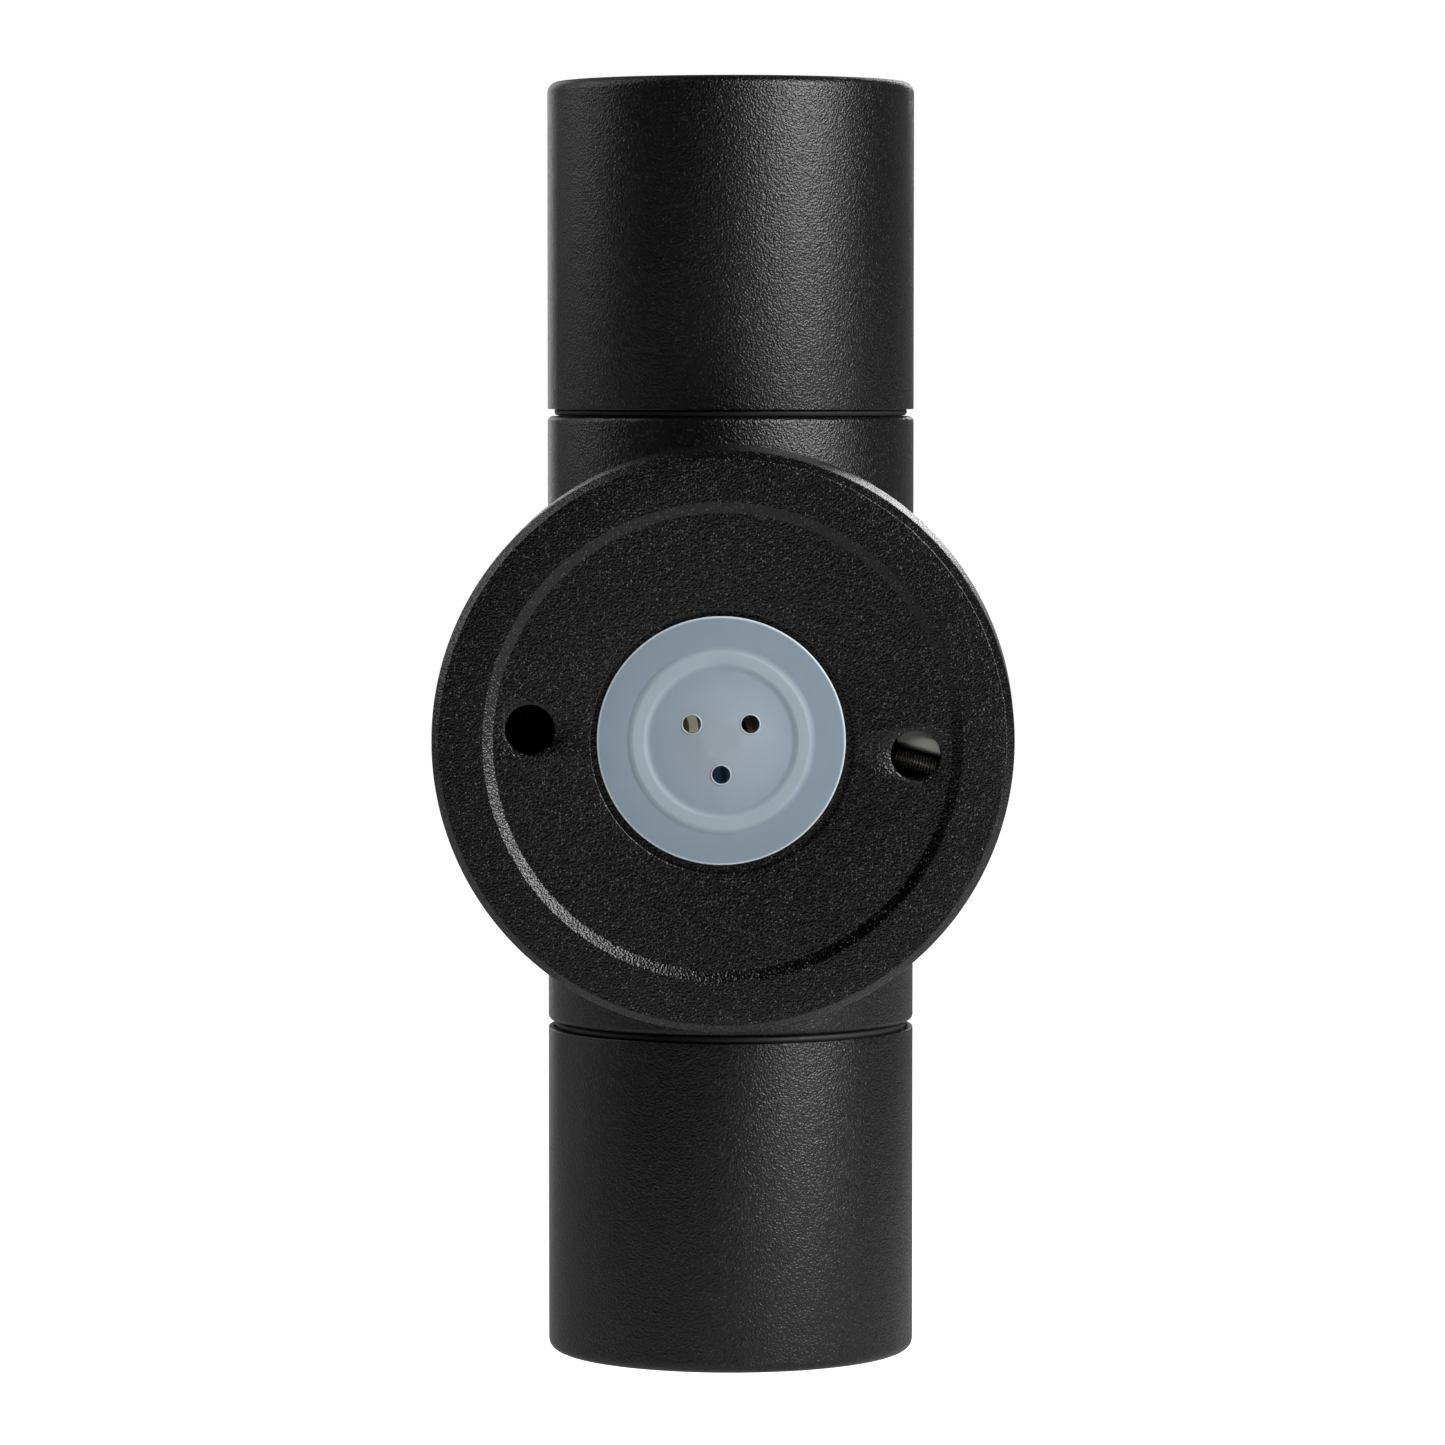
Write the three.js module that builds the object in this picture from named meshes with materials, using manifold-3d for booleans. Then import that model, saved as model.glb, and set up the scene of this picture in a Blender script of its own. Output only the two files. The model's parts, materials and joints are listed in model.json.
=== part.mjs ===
// Up-and-down wall light with two reflector lamps, modelled as its separate pieces.
//
// Millimetres, +Z up. The origin lies in the wall's plane, at the middle of the wall plate. The
// wall is on the +Y side, and the light stands out from it along -Y.
//
// Two local frames are used:
//   wall frame    x, height, depth, where depth runs from the wall out into the room
//   column frame  the upright cylinder's own axis as Z, with the wall on its +Y side

import * as THREE from "three";
import { mergeVertices } from "three/addons/utils/BufferGeometryUtils.js";
import Module from "manifold-3d";

const wasm = await Module();
wasm.setup();

// ---------------------------------------------------------------- driving dimensions

const LIGHT_HEIGHT = 218.5;
const COLUMN_R = 31.5;
const CAP_LENGTH = 56;
const SEAM = 1.2; // shadow gap between a cap and the middle tube
const COLUMN_DEPTH = 74.4; // wall face to column axis
const TUBE_HALF = LIGHT_HEIGHT / 2 - CAP_LENGTH - SEAM;
const TOP = LIGHT_HEIGHT / 2;

const PLATE_R = 47.1;
const PLATE_FACE_R = 45.8; // outside of the flat ring that touches the wall
const PLATE_FACE_INNER_R = 38.75; // inside of that ring
const PLATE_RECESS_R = 37.05; // the slope from the ring ends here
const PLATE_RECESS = 0.85; // centre of the plate stands back from the wall by this much
const PLATE_INNER = 4.5; // depth of the plate's inner face
const SPIGOT_R = 44.2; // the canopy slides over this part of the plate
const SPIGOT_END = 8;
const SPIGOT_WALL = 3;
const SEAL_GROOVE = { rear: 4.2, front: 6.4, deep: 1.2 }; // round the spigot
const ENTRY_R = 18; // cable entry through the plate
const ENTRY_SEAT_R = 21.3;
const ENTRY_SEAT_DEPTH = 2.35;
const WALL_SCREW_R = 4; // radius of each wall screw hole
const WALL_SCREW_AT = 31.2; // from the centre to each wall screw hole
const WALL_SCREW_TILT = THREE.MathUtils.degToRad(3.7);

const GROMMET_AT = { x: 0.25, height: 0.27 };
const GROMMET = { flangeR: 20.1, bodyR: 17.4, skinR: 15.4, holeR: 1.5, holesAt: 5.45 };
const GROMMET_FACE = PLATE_RECESS + 0.25;

const CANOPY_R = 47.7;
const CANOPY_REAR = 3.3;
const CANOPY_FRONT = 31;
const CANOPY_BORE_R = 45;
const CANOPY_WALL = 2.5;
const CANOPY_INNER = CANOPY_FRONT - CANOPY_WALL;

const NIPPLE_R = 5; // hollow threaded tube that clamps the column to the canopy
const NIPPLE_BORE_R = 3.9;
const NECK_R = 17;
const NUT_SEAT = COLUMN_DEPTH - 26.8; // depth of the flat seat for the nipple's nut in the tube

const THREAD_R = 29.3; // threaded spigots at both ends of the middle tube
const THREAD_LENGTH = 12;
const TUBE_BORE_R = 28.5;
const SPIGOT_BORE_R = 27;

const HOLDER_FLOOR = 32.4; // underside of a lampholder, from the column's middle
const HOLDER_HEIGHT = 15;
const BRACKET_AT = 31.1;
const BRACKET_THICK = 1.2;
const BRACKET_SCREW_X = 24.8;
const LAMP_REAR = 48;
const LAMP_LENGTH = 46.5;
const LAMP_R = 25;
const PIN_X = 5; // half the distance between the two lamp pins
const LAMP_TWIST = THREE.MathUtils.degToRad(25);

const LOCK_SCREW_R = 1.5;
const LOCK_SCREW_LENGTH = 20;
const LOCK_POINT = { x: -31.4, height: -3.85, depth: 11.5 }; // point on the lock screw's axis
const LOCK_TILT = THREE.MathUtils.degToRad(196); // its outward direction in the wall frame
const LOCK_OUTER_END = 15.2; // from LOCK_POINT to the socket end
const LOCK_TIP = LOCK_OUTER_END - LOCK_SCREW_LENGTH;

// The bent strip that steadies the lock screw. Its frame has X along the screw and Z as depth,
// measured from the screw's axis.
const STRIP = { thick: 1.2, edgeY: -2.5, backY: -8.2, inner: -4, outer: 6.2 };
const FOOT = { x: 0, y: -12.6, low: -16.5 };
const LOCK_FOOT = new THREE.Vector2(FOOT.x, FOOT.y)
  .rotateAround(new THREE.Vector2(), LOCK_TILT)
  .add(new THREE.Vector2(LOCK_POINT.x, LOCK_POINT.height));

const WIRE_R = 0.9;
const POLE_X = { live: -9, neutral: 0, earth: 9 };
const BLOCK = { half: 13.5, low: -32, high: -16, rear: 15.5, front: 27.4 };
const BLOCK_MID = (BLOCK.low + BLOCK.high) / 2;
const BLOCK_SCREW_X = (POLE_X.live + POLE_X.neutral) / 2;
const POLE_DEPTH = 21.5;
const EARTH_AT = { x: 9, height: 23 };
const EARTH_BOSS = 3; // how far the earth screw's boss stands in from the canopy's inner face
const LUG_DEPTH = CANOPY_INNER - EARTH_BOSS - 0.9;

const EASE = 0.1; // air between pieces that touch

// ---------------------------------------------------------------- finishes

const FINISH = {
  blackCoat: { color: 0x1c1d1f, roughness: 0.6, metalness: 0.1 },
  silicone: { color: 0x93a3ad, roughness: 0.45, metalness: 0 },
  rubber: { color: 0x1a1a1a, roughness: 0.9, metalness: 0 },
  zinc: { color: 0xb4b6b2, roughness: 0.35, metalness: 1 },
  brass: { color: 0xc9a250, roughness: 0.35, metalness: 1 },
  ceramic: { color: 0xe9e6de, roughness: 0.6, metalness: 0 },
  glass: { color: 0xdfe9ea, roughness: 0.05, metalness: 0 },
  lampShell: { color: 0xe4e4e2, roughness: 0.5, metalness: 0 },
  lampLens: { color: 0xf2f2ec, roughness: 0.2, metalness: 0 },
  blockPlastic: { color: 0xe8e6df, roughness: 0.5, metalness: 0 },
  brown: { color: 0x5a3420, roughness: 0.6, metalness: 0 },
  blue: { color: 0x1f4f8c, roughness: 0.6, metalness: 0 },
  greenYellow: { color: 0xa8b032, roughness: 0.6, metalness: 0 },
};

// ---------------------------------------------------------------- solids from geometries

// A closed geometry as a solid that can be cut and joined.
function solid(geometry) {
  const bare = geometry.clone();
  bare.deleteAttribute("normal");
  bare.deleteAttribute("uv");
  const merged = mergeVertices(bare, 1e-4);
  const triVerts = [];
  for (let i = 0; i < merged.index.count; i += 3) {
    const corners = [0, 1, 2].map((k) => merged.index.getX(i + k));
    if (new Set(corners).size === 3) triVerts.push(...corners);
  }
  return new wasm.Manifold(
    new wasm.Mesh({
      numProp: 3,
      vertProperties: merged.attributes.position.array,
      triVerts: new Uint32Array(triVerts),
    }),
  );
}

const join = (first, ...others) => others.reduce((whole, other) => whole.add(other), first);
const cut = (first, ...tools) => tools.reduce((whole, tool) => whole.subtract(tool), first);

// One named piece of the light.
function piece(name, shape, finish) {
  const { vertProperties, triVerts } = shape.getMesh();
  const geometry = new THREE.BufferGeometry();
  geometry.setAttribute("position", new THREE.BufferAttribute(vertProperties, 3));
  geometry.setIndex(new THREE.BufferAttribute(triVerts, 1));
  geometry.computeVertexNormals();
  const mesh = new THREE.Mesh(geometry, new THREE.MeshStandardMaterial(finish));
  mesh.name = name;
  return mesh;
}

// How many flat sides a round surface of this radius gets.
const sidesFor = (radius) => Math.min(24, Math.max(8, 4 * Math.round(radius / 5 + 1.6)));
const OUTER_SIDES = 32; // the pieces that are seen from outside get more

// A profile of [radius, z] points turned about Z. The points run anticlockwise, and either start
// and end on the axis or close on themselves.
function turned(profile, sides = sidesFor(Math.max(...profile.map(([r]) => r)))) {
  const points = profile.map(([r, z]) => new THREE.Vector2(r, z));
  if (profile[0][0] > 0) points.push(points[0].clone());
  return new THREE.LatheGeometry(points, sides).rotateX(Math.PI / 2);
}

const rodShape = (r, z0, z1, sides) => turned([[0, z0], [r, z0], [r, z1], [0, z1]], sides);
const rod = (r, z0, z1, x = 0, y = 0, sides) => solid(rodShape(r, z0, z1, sides).translate(x, y, 0));
const tubeRing = (inner, outer, z0, z1) =>
  solid(turned([[inner, z0], [outer, z0], [outer, z1], [inner, z1]]));

// A rod that lies along Y, through the given x and z.
const rodAlongY = (r, y0, y1, x, z, sides) =>
  solid(rodShape(r, -y1, -y0, sides).rotateX(Math.PI / 2).translate(x, 0, z));

// A rod that lies along X, through the given y and z.
const rodAlongX = (r, x0, x1, y, z, sides) =>
  solid(rodShape(r, x0, x1, sides).rotateY(Math.PI / 2).translate(0, y, z));

function block(x0, x1, y0, y1, z0, z1) {
  const geometry = new THREE.BoxGeometry(x1 - x0, y1 - y0, z1 - z0);
  return solid(geometry.translate((x0 + x1) / 2, (y0 + y1) / 2, (z0 + z1) / 2));
}

// A flat outline made thick along Z.
function slab(shape, z0, z1, curveSegments = 5) {
  const options = { depth: z1 - z0, bevelEnabled: false, curveSegments };
  return solid(new THREE.ExtrudeGeometry(shape, options).translate(0, 0, z0));
}

// A rectangle with half-round ends, centred, long along X.
function stadium(length, width) {
  const r = width / 2;
  const reach = length / 2 - r;
  const shape = new THREE.Shape();
  shape.moveTo(-reach, -r);
  shape.lineTo(reach, -r);
  shape.absarc(reach, 0, r, -Math.PI / 2, Math.PI / 2);
  shape.lineTo(-reach, r);
  shape.absarc(-reach, 0, r, Math.PI / 2, 1.5 * Math.PI);
  return shape;
}

// Points of an arc in a [radius, z] profile, from one angle to another in degrees.
function arc(centreR, centreZ, r, from, to, steps = 3) {
  return Array.from({ length: steps + 1 }, (_, i) => {
    const angle = THREE.MathUtils.degToRad(from + ((to - from) * i) / steps);
    return [centreR + r * Math.cos(angle), centreZ + r * Math.sin(angle)];
  });
}

// A round wire along a smooth curve through the given points.
function wire(points) {
  const outline = new THREE.Shape();
  outline.absarc(0, 0, WIRE_R, 0, 2 * Math.PI);
  const path = new THREE.CatmullRomCurve3(points, false, "centripetal");
  const options = { extrudePath: path, steps: 2 * points.length, curveSegments: 3 };
  return solid(new THREE.ExtrudeGeometry(outline, options));
}

// A pan-head screw along Z, with its shank below z = 0 and a cross recess in the head.
function panScrew(shankR, shankLength, headR, headHeight) {
  const head = [[headR, 0], [headR, headHeight * 0.55], [headR * 0.72, headHeight]];
  const profile = [[0, -shankLength], [shankR, -shankLength], [shankR, 0], ...head, [0, headHeight]];
  const slotHalf = headR * 0.62;
  const slotWidth = headR * 0.13;
  const floor = headHeight * 0.4;
  return cut(
    solid(turned(profile)),
    block(-slotHalf, slotHalf, -slotWidth, slotWidth, floor, headHeight + 1),
    block(-slotWidth, slotWidth, -slotHalf, slotHalf, floor, headHeight + 1),
  );
}

// A hexagon nut from z0 to z1.
const hexNut = (corner, bore, z0, z1) => cut(rod(corner, z0, z1, 0, 0, 6), rod(bore, z0 - 1, z1 + 1));

// ---------------------------------------------------------------- wall plate and its grommet

const wallScrewHoles = [0, Math.PI].map((turn) => ({
  x: WALL_SCREW_AT * Math.cos(WALL_SCREW_TILT + turn),
  height: WALL_SCREW_AT * Math.sin(WALL_SCREW_TILT + turn),
}));

function wallPlate() {
  const rimDepth = CANOPY_REAR - 0.3;
  const spigotBoreR = SPIGOT_R - SPIGOT_WALL;
  const grooveR = SPIGOT_R - SEAL_GROOVE.deep;
  const disc = turned([
    [ENTRY_R, ENTRY_SEAT_DEPTH],
    [ENTRY_SEAT_R, ENTRY_SEAT_DEPTH],
    [ENTRY_SEAT_R, PLATE_RECESS + 0.25],
    [ENTRY_SEAT_R + 0.25, PLATE_RECESS],
    [PLATE_RECESS_R, PLATE_RECESS],
    [PLATE_FACE_INNER_R, 0],
    [PLATE_FACE_R, 0],
    [PLATE_R, 1.9],
    [PLATE_R, rimDepth],
    [SPIGOT_R, rimDepth],
    [SPIGOT_R, SEAL_GROOVE.rear],
    [grooveR, SEAL_GROOVE.rear],
    [grooveR, SEAL_GROOVE.front],
    [SPIGOT_R, SEAL_GROOVE.front],
    [SPIGOT_R, SPIGOT_END],
    [spigotBoreR, SPIGOT_END],
    [spigotBoreR, PLATE_INNER],
    [ENTRY_R, PLATE_INNER],
  ], OUTER_SIDES);
  const chamfer = 0.35;
  const countersink = [
    [0, PLATE_RECESS - 0.2],
    [WALL_SCREW_R + chamfer + 0.2, PLATE_RECESS - 0.2],
    [WALL_SCREW_R, PLATE_RECESS + chamfer],
    [WALL_SCREW_R, PLATE_INNER + 1],
    [0, PLATE_INNER + 1],
  ];
  const holes = wallScrewHoles.map(({ x, height }) =>
    solid(turned(countersink, 16).translate(x, height, 0)),
  );
  return cut(solid(disc).add(lockLug()), ...holes);
}

// A cast lug on the plate's inner face, which the tip of the lock screw presses on.
function lockLug() {
  const face = LOCK_TIP - 0.3;
  const geometry = new THREE.BoxGeometry(3.2, 6.4, 9.8).translate(face - 1.6, 0, PLATE_INNER + 4.7);
  geometry.rotateZ(LOCK_TILT);
  return solid(geometry.translate(LOCK_POINT.x, LOCK_POINT.height, 0));
}

// Soft entry seal: a flange in the plate's counterbore, a raised ring, a low dome with a hole for
// each supply wire whose small flat top touches the wall, and a lip behind the plate.
function cableGrommet() {
  const rear = GROMMET_FACE;
  const ring = 0.35;
  const profile = [
    [0, 0],
    [3.2, 0],
    [11.9, rear],
    [12.3, rear - ring],
    [14.4, rear - ring],
    [14.8, rear],
    [GROMMET.flangeR - 0.3, rear],
    [GROMMET.flangeR, rear + 0.3],
    [GROMMET.flangeR, ENTRY_SEAT_DEPTH - EASE],
    [GROMMET.bodyR, ENTRY_SEAT_DEPTH - EASE],
    [GROMMET.bodyR, PLATE_INNER + EASE],
    [GROMMET.bodyR + 1.4, PLATE_INNER + EASE],
    [GROMMET.bodyR, PLATE_INNER + 1.6],
    [GROMMET.skinR, PLATE_INNER + 1.6],
    [GROMMET.skinR, rear + 1.6],
    [0, rear + 1.6],
  ];
  const holes = [30, 150, 270].map((degrees) => {
    const angle = THREE.MathUtils.degToRad(degrees);
    return rod(
      GROMMET.holeR, -1, PLATE_INNER,
      GROMMET.holesAt * Math.cos(angle), GROMMET.holesAt * Math.sin(angle), 16,
    );
  });
  return cut(solid(turned(profile)), ...holes);
}

// ---------------------------------------------------------------- canopy and what it holds

function canopy() {
  const rim = 1.3;
  const shell = solid(turned([
    [0, CANOPY_INNER],
    [CANOPY_BORE_R, CANOPY_INNER],
    [CANOPY_BORE_R, CANOPY_REAR],
    [PLATE_R + 0.05, CANOPY_REAR],
    [CANOPY_R, CANOPY_FRONT - rim],
    [CANOPY_R - rim, CANOPY_FRONT],
    [0, CANOPY_FRONT],
  ], OUTER_SIDES));
  const bosses = [
    rod(4, CANOPY_INNER - EARTH_BOSS, CANOPY_INNER + 1, EARTH_AT.x, EARTH_AT.height),
    lockScrewTool(3.2, 9, 14.2),
  ];
  return cut(
    join(shell, ...bosses),
    rod(NIPPLE_R + 0.2, CANOPY_INNER - 5, CANOPY_FRONT + 1),
    rod(1.9, CANOPY_INNER - 4, CANOPY_INNER + 1, EARTH_AT.x, EARTH_AT.height),
    rod(1.5, CANOPY_INNER - 1, CANOPY_INNER + 1.5, LOCK_FOOT.x, LOCK_FOOT.y),
    rod(1.5, CANOPY_INNER - 1, CANOPY_INNER + 1.5, BLOCK_SCREW_X, BLOCK_MID),
    lockScrewTool(LOCK_SCREW_R + 0.08, 8, 20),
  );
}

// A rod on the lock screw's axis, in the wall frame, between two distances from LOCK_POINT.
function lockScrewTool(r, from, to) {
  const geometry = rodShape(r, from, to, 20).rotateY(Math.PI / 2).rotateZ(LOCK_TILT);
  return solid(geometry.translate(LOCK_POINT.x, LOCK_POINT.height, LOCK_POINT.depth));
}

// A headless screw with a hexagon socket and a cone tip, along X with its tip towards -X.
function lockScrew() {
  const profile = [
    [0, LOCK_TIP],
    [0.6, LOCK_TIP],
    [LOCK_SCREW_R, LOCK_TIP + 0.9],
    [LOCK_SCREW_R, LOCK_OUTER_END - 0.3],
    [LOCK_SCREW_R - 0.3, LOCK_OUTER_END],
    [0, LOCK_OUTER_END],
  ];
  const shaft = solid(turned(profile, 20).rotateY(Math.PI / 2));
  return shaft.subtract(rodAlongX(0.87, LOCK_OUTER_END - 1.8, LOCK_OUTER_END + 1, 0, 0, 6));
}

function lockScrewBracket() {
  const armLow = 1.5;
  const footTop = CANOPY_INNER - LOCK_POINT.depth - EASE;
  const { thick, edgeY, backY, inner, outer } = STRIP;
  const arm = block(inner, outer, backY, edgeY, armLow, armLow + thick);
  const riser = block(inner, 4, backY, backY + thick, armLow, footTop);
  const foot = block(inner, 4, FOOT.low, backY + thick, footTop - thick, footTop);
  const tab = block(outer - thick, outer, backY, 3, -2.8, armLow + thick);
  return cut(
    join(arm, riser, foot, tab),
    rodAlongX(LOCK_SCREW_R + 0.08, 0, 10, 0, 0, 20),
    rod(1.7, footTop - 3, footTop + 1, FOOT.x, FOOT.y),
  );
}

// ---------------------------------------------------------------- neck, nipple and nuts

function neck(rear) {
  const tube = solid(turned([
    [NIPPLE_R + 0.4, rear],
    [NECK_R + 1, rear],
    [NECK_R + 1, rear + 1.6],
    ...arc(NECK_R + 2, rear + 3.6, 2, 240, 180, 3),
    [NECK_R, 56],
    [NIPPLE_R + 0.4, 56],
  ]));
  return tube.subtract(rodAlongY(COLUMN_R + 0.35, -40, 40, 0, COLUMN_DEPTH, OUTER_SIDES));
}

// ---------------------------------------------------------------- terminal block and earth

const poleXs = Object.values(POLE_X);
const clampHeights = [BLOCK.low + 4.5, BLOCK.high - 4.5];

function terminalBlock() {
  const body = block(-BLOCK.half, BLOCK.half, BLOCK.low, BLOCK.high, BLOCK.rear + 3, BLOCK.front);
  const towers = poleXs.map((x) =>
    block(x - 3.4, x + 3.4, BLOCK.low + 1, BLOCK.high - 1, BLOCK.rear, BLOCK.rear + 4),
  );
  const bores = poleXs.flatMap((x) => [
    rodAlongY(2.7, BLOCK.low + 2, BLOCK.high - 2, x, POLE_DEPTH, 8),
    rodAlongY(2.3, BLOCK.low - 1, BLOCK.high + 1, x, POLE_DEPTH, 8),
    ...clampHeights.map((y) => rod(1.9, BLOCK.rear - 1, POLE_DEPTH, x, y, 8)),
  ]);
  return cut(
    join(body, ...towers),
    ...bores,
    rod(1.7, BLOCK.rear + 3, BLOCK.front + 1, BLOCK_SCREW_X, BLOCK_MID, 12),
    rod(3, BLOCK.rear - 1, BLOCK.rear + 3.4, BLOCK_SCREW_X, BLOCK_MID, 12),
  );
}

// A brass clamp tube with a cross hole for each clamping screw.
function terminalClamp(x) {
  const [low, high] = [BLOCK.low + 2 + EASE, BLOCK.high - 2 - EASE];
  return cut(
    rodAlongY(2.4, low, high, x, POLE_DEPTH, 8),
    rodAlongY(1.4, low - 1, high + 1, x, POLE_DEPTH, 8),
    ...clampHeights.map((y) => rod(1.8, POLE_DEPTH - 4, POLE_DEPTH, x, y, 8)),
  );
}

function clampScrew(x, y) {
  const screw = cut(
    solid(rodShape(1.6, BLOCK.rear + 0.6, POLE_DEPTH - 0.5, 8)),
    block(-2, 2, -0.25, 0.25, BLOCK.rear, BLOCK.rear + 1.4),
  );
  return screw.translate([x, y, 0]);
}

// A ring tag with a folded barrel that grips the earth wire's end.
function earthLug(depth) {
  const barrelEnd = EARTH_AT.height - 12;
  const tag = tubeRing(2.1, 4, depth, depth + 0.8).translate([EARTH_AT.x, EARTH_AT.height, 0]);
  const neckStrip = block(
    EARTH_AT.x - 1.5, EARTH_AT.x + 1.5, barrelEnd, EARTH_AT.height - 3.6, depth, depth + 0.8,
  );
  const barrel = rodAlongY(1.9, barrelEnd, barrelEnd + 5, EARTH_AT.x, depth - 0.9, 14);
  const bore = rodAlongY(WIRE_R + 0.15, barrelEnd - 1, barrelEnd + 4.2, EARTH_AT.x, depth - 0.9, 14);
  return cut(join(tag, neckStrip, barrel), bore);
}

// ---------------------------------------------------------------- column pieces

function bodyTube() {
  const edge = 1;
  const shoulder = TUBE_HALF + 2;
  const end = shoulder + THREAD_LENGTH;
  const outside = [
    ...arc(COLUMN_R - edge, TUBE_HALF - edge, edge, 0, 90, 3),
    [THREAD_R - 0.4, TUBE_HALF],
    [THREAD_R - 0.4, shoulder],
    [THREAD_R, shoulder],
    [THREAD_R, end - 0.5],
    [THREAD_R - 0.5, end],
  ];
  const inside = [
    [SPIGOT_BORE_R, end],
    [SPIGOT_BORE_R, TUBE_HALF - 2],
    [TUBE_BORE_R, TUBE_HALF - 3.5],
  ];
  const mirrored = (points) => points.map(([r, z]) => [r, -z]).reverse();
  const profile = [...mirrored(outside), ...outside, ...inside, ...mirrored(inside)];
  const shell = solid(turned(profile, OUTER_SIDES));
  const wallSide = COLUMN_DEPTH - NUT_SEAT;
  const nutSeat = block(-10, 10, wallSide, TUBE_BORE_R + 1, -10, 10);
  const corners = [-1, 1].flatMap((side) => [-1, 1].map((upDown) => [side, upDown]));
  return cut(
    join(shell, nutSeat, ...corners.map(([side, upDown]) => screwBoss(side, upDown))),
    ...corners.map(([side, upDown]) => screwBossBore(side, upDown)),
    rodAlongY(NIPPLE_R + 0.2, wallSide - 2, COLUMN_R + 1, 0, 0),
  );
}

// Two distances from the column's middle, on its positive or negative side, lowest first.
const ordered = (sign, near, far) => [sign * near, sign * far].sort((a, b) => a - b);

// A boss on the tube's inside that takes a holder bracket's screw.
function screwBoss(side, upDown) {
  const [z0, z1] = ordered(upDown, BRACKET_AT - 13, BRACKET_AT - EASE);
  const [x0, x1] = ordered(side, BRACKET_SCREW_X, TUBE_BORE_R + 1);
  return rod(3.6, z0, z1, side * BRACKET_SCREW_X, 0, 16).add(block(x0, x1, -3.6, 3.6, z0, z1));
}

function screwBossBore(side, upDown) {
  const [z0, z1] = ordered(upDown, BRACKET_AT - 10, BRACKET_AT + 1);
  return rod(1.5, z0, z1, side * BRACKET_SCREW_X, 0, 12);
}

function holderBracket() {
  return cut(
    slab(stadium(55.4, 12), BRACKET_AT, BRACKET_AT + BRACKET_THICK),
    slab(stadium(13, 5), BRACKET_AT - 1, BRACKET_AT + 3),
    ...[-1, 1].map((side) => rod(1.7, BRACKET_AT - 1, BRACKET_AT + 3, side * BRACKET_SCREW_X, 0)),
  );
}

// Ceramic twist-lock holder. Each pin goes in at a round hole and turns along a narrower slot,
// with its head in a wider channel below.
function lampholder() {
  const top = HOLDER_FLOOR + HOLDER_HEIGHT;
  const channelTop = top - 3;
  const channelFloor = top - 6.8;
  const body = slab(stadium(26, 17), HOLDER_FLOOR, top);
  const tools = [0, Math.PI].flatMap((turn) => {
    const at = (share) => {
      const angle = turn + LAMP_TWIST * share;
      return [PIN_X * Math.cos(angle), PIN_X * Math.sin(angle)];
    };
    const slot = [0, 0.5, 1].flatMap((share) => [
      rod(1.85, channelTop - 1, top + 1, ...at(share), 12),
      rod(2.85, channelFloor, channelTop, ...at(share), 12),
    ]);
    return [...slot, rod(2.85, channelFloor, top + 1, ...at(1), 12)];
  });
  const wireHoles = [-4, 4].map((x) => rod(WIRE_R + 0.3, HOLDER_FLOOR - 1, HOLDER_FLOOR + 4, x, 0));
  return cut(body, ...tools, ...wireHoles);
}

function lampShell() {
  const front = LAMP_REAR + LAMP_LENGTH;
  return solid(turned([
    [0, LAMP_REAR],
    [11.5, LAMP_REAR],
    [12.5, LAMP_REAR + 1],
    [12.5, LAMP_REAR + 10],
    [14.5, LAMP_REAR + 13],
    [24.2, front - 8.5],
    [LAMP_R, front - 6],
    [LAMP_R, front - 0.6],
    [LAMP_R - 0.6, front],
    [23.6, front],
    [23.6, front - 1.6],
    [0, front - 1.6],
  ]));
}

function lampLens() {
  const front = LAMP_REAR + LAMP_LENGTH;
  return solid(turned([
    [0, front - 1.6 + EASE],
    [23.3, front - 1.6 + EASE],
    [23.3, front - 0.5],
    [22.8, front - 0.2],
    [0, front - 0.2],
  ]));
}

function lampPin(side) {
  const neckTop = LAMP_REAR - EASE;
  const headTop = HOLDER_FLOOR + HOLDER_HEIGHT - 3.4;
  return solid(turned([
    [0, headTop - 2.8],
    [2, headTop - 2.8],
    [2.5, headTop - 2.3],
    [2.5, headTop],
    [1.5, headTop],
    [1.5, neckTop],
    [0, neckTop],
  ], 14).translate(side * PIN_X, 0, 0));
}

// Depths of the stack behind each cap's end lip, from the column's middle.
const GLASS = { lip: TOP - 2.5, gasket: 0.8, thick: 4, r: 28.3, ring: 1.6, openR: 26.5 };
const GLASS_TOP = GLASS.lip - GLASS.gasket - 2 * EASE;
const RING_TOP = GLASS_TOP - GLASS.thick - EASE;
const CAP_BORE_R = 28.7;

function cap() {
  const start = TUBE_HALF + SEAM;
  const edge = 1.8;
  const grooveTop = RING_TOP + 0.15;
  const grooveFloor = RING_TOP - GLASS.ring - 0.15;
  const shoulder = TUBE_HALF + THREAD_LENGTH + 3;
  return solid(turned([
    [COLUMN_R - 0.9, start],
    [COLUMN_R - 0.15, start],
    [COLUMN_R, start + 0.15],
    ...arc(COLUMN_R - edge, TOP - edge, edge, 0, 90),
    [GLASS.openR + 0.6, TOP],
    [GLASS.openR, TOP - 0.6],
    [GLASS.openR, GLASS.lip],
    [CAP_BORE_R, GLASS.lip],
    [CAP_BORE_R, grooveTop],
    [CAP_BORE_R + 0.8, grooveTop],
    [CAP_BORE_R + 0.8, grooveFloor],
    [CAP_BORE_R, grooveFloor],
    [CAP_BORE_R, shoulder],
    [THREAD_R + 0.15, shoulder],
    [THREAD_R + 0.15, start + 1],
    [COLUMN_R - 0.9, start + 1],
  ], OUTER_SIDES));
}

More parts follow.
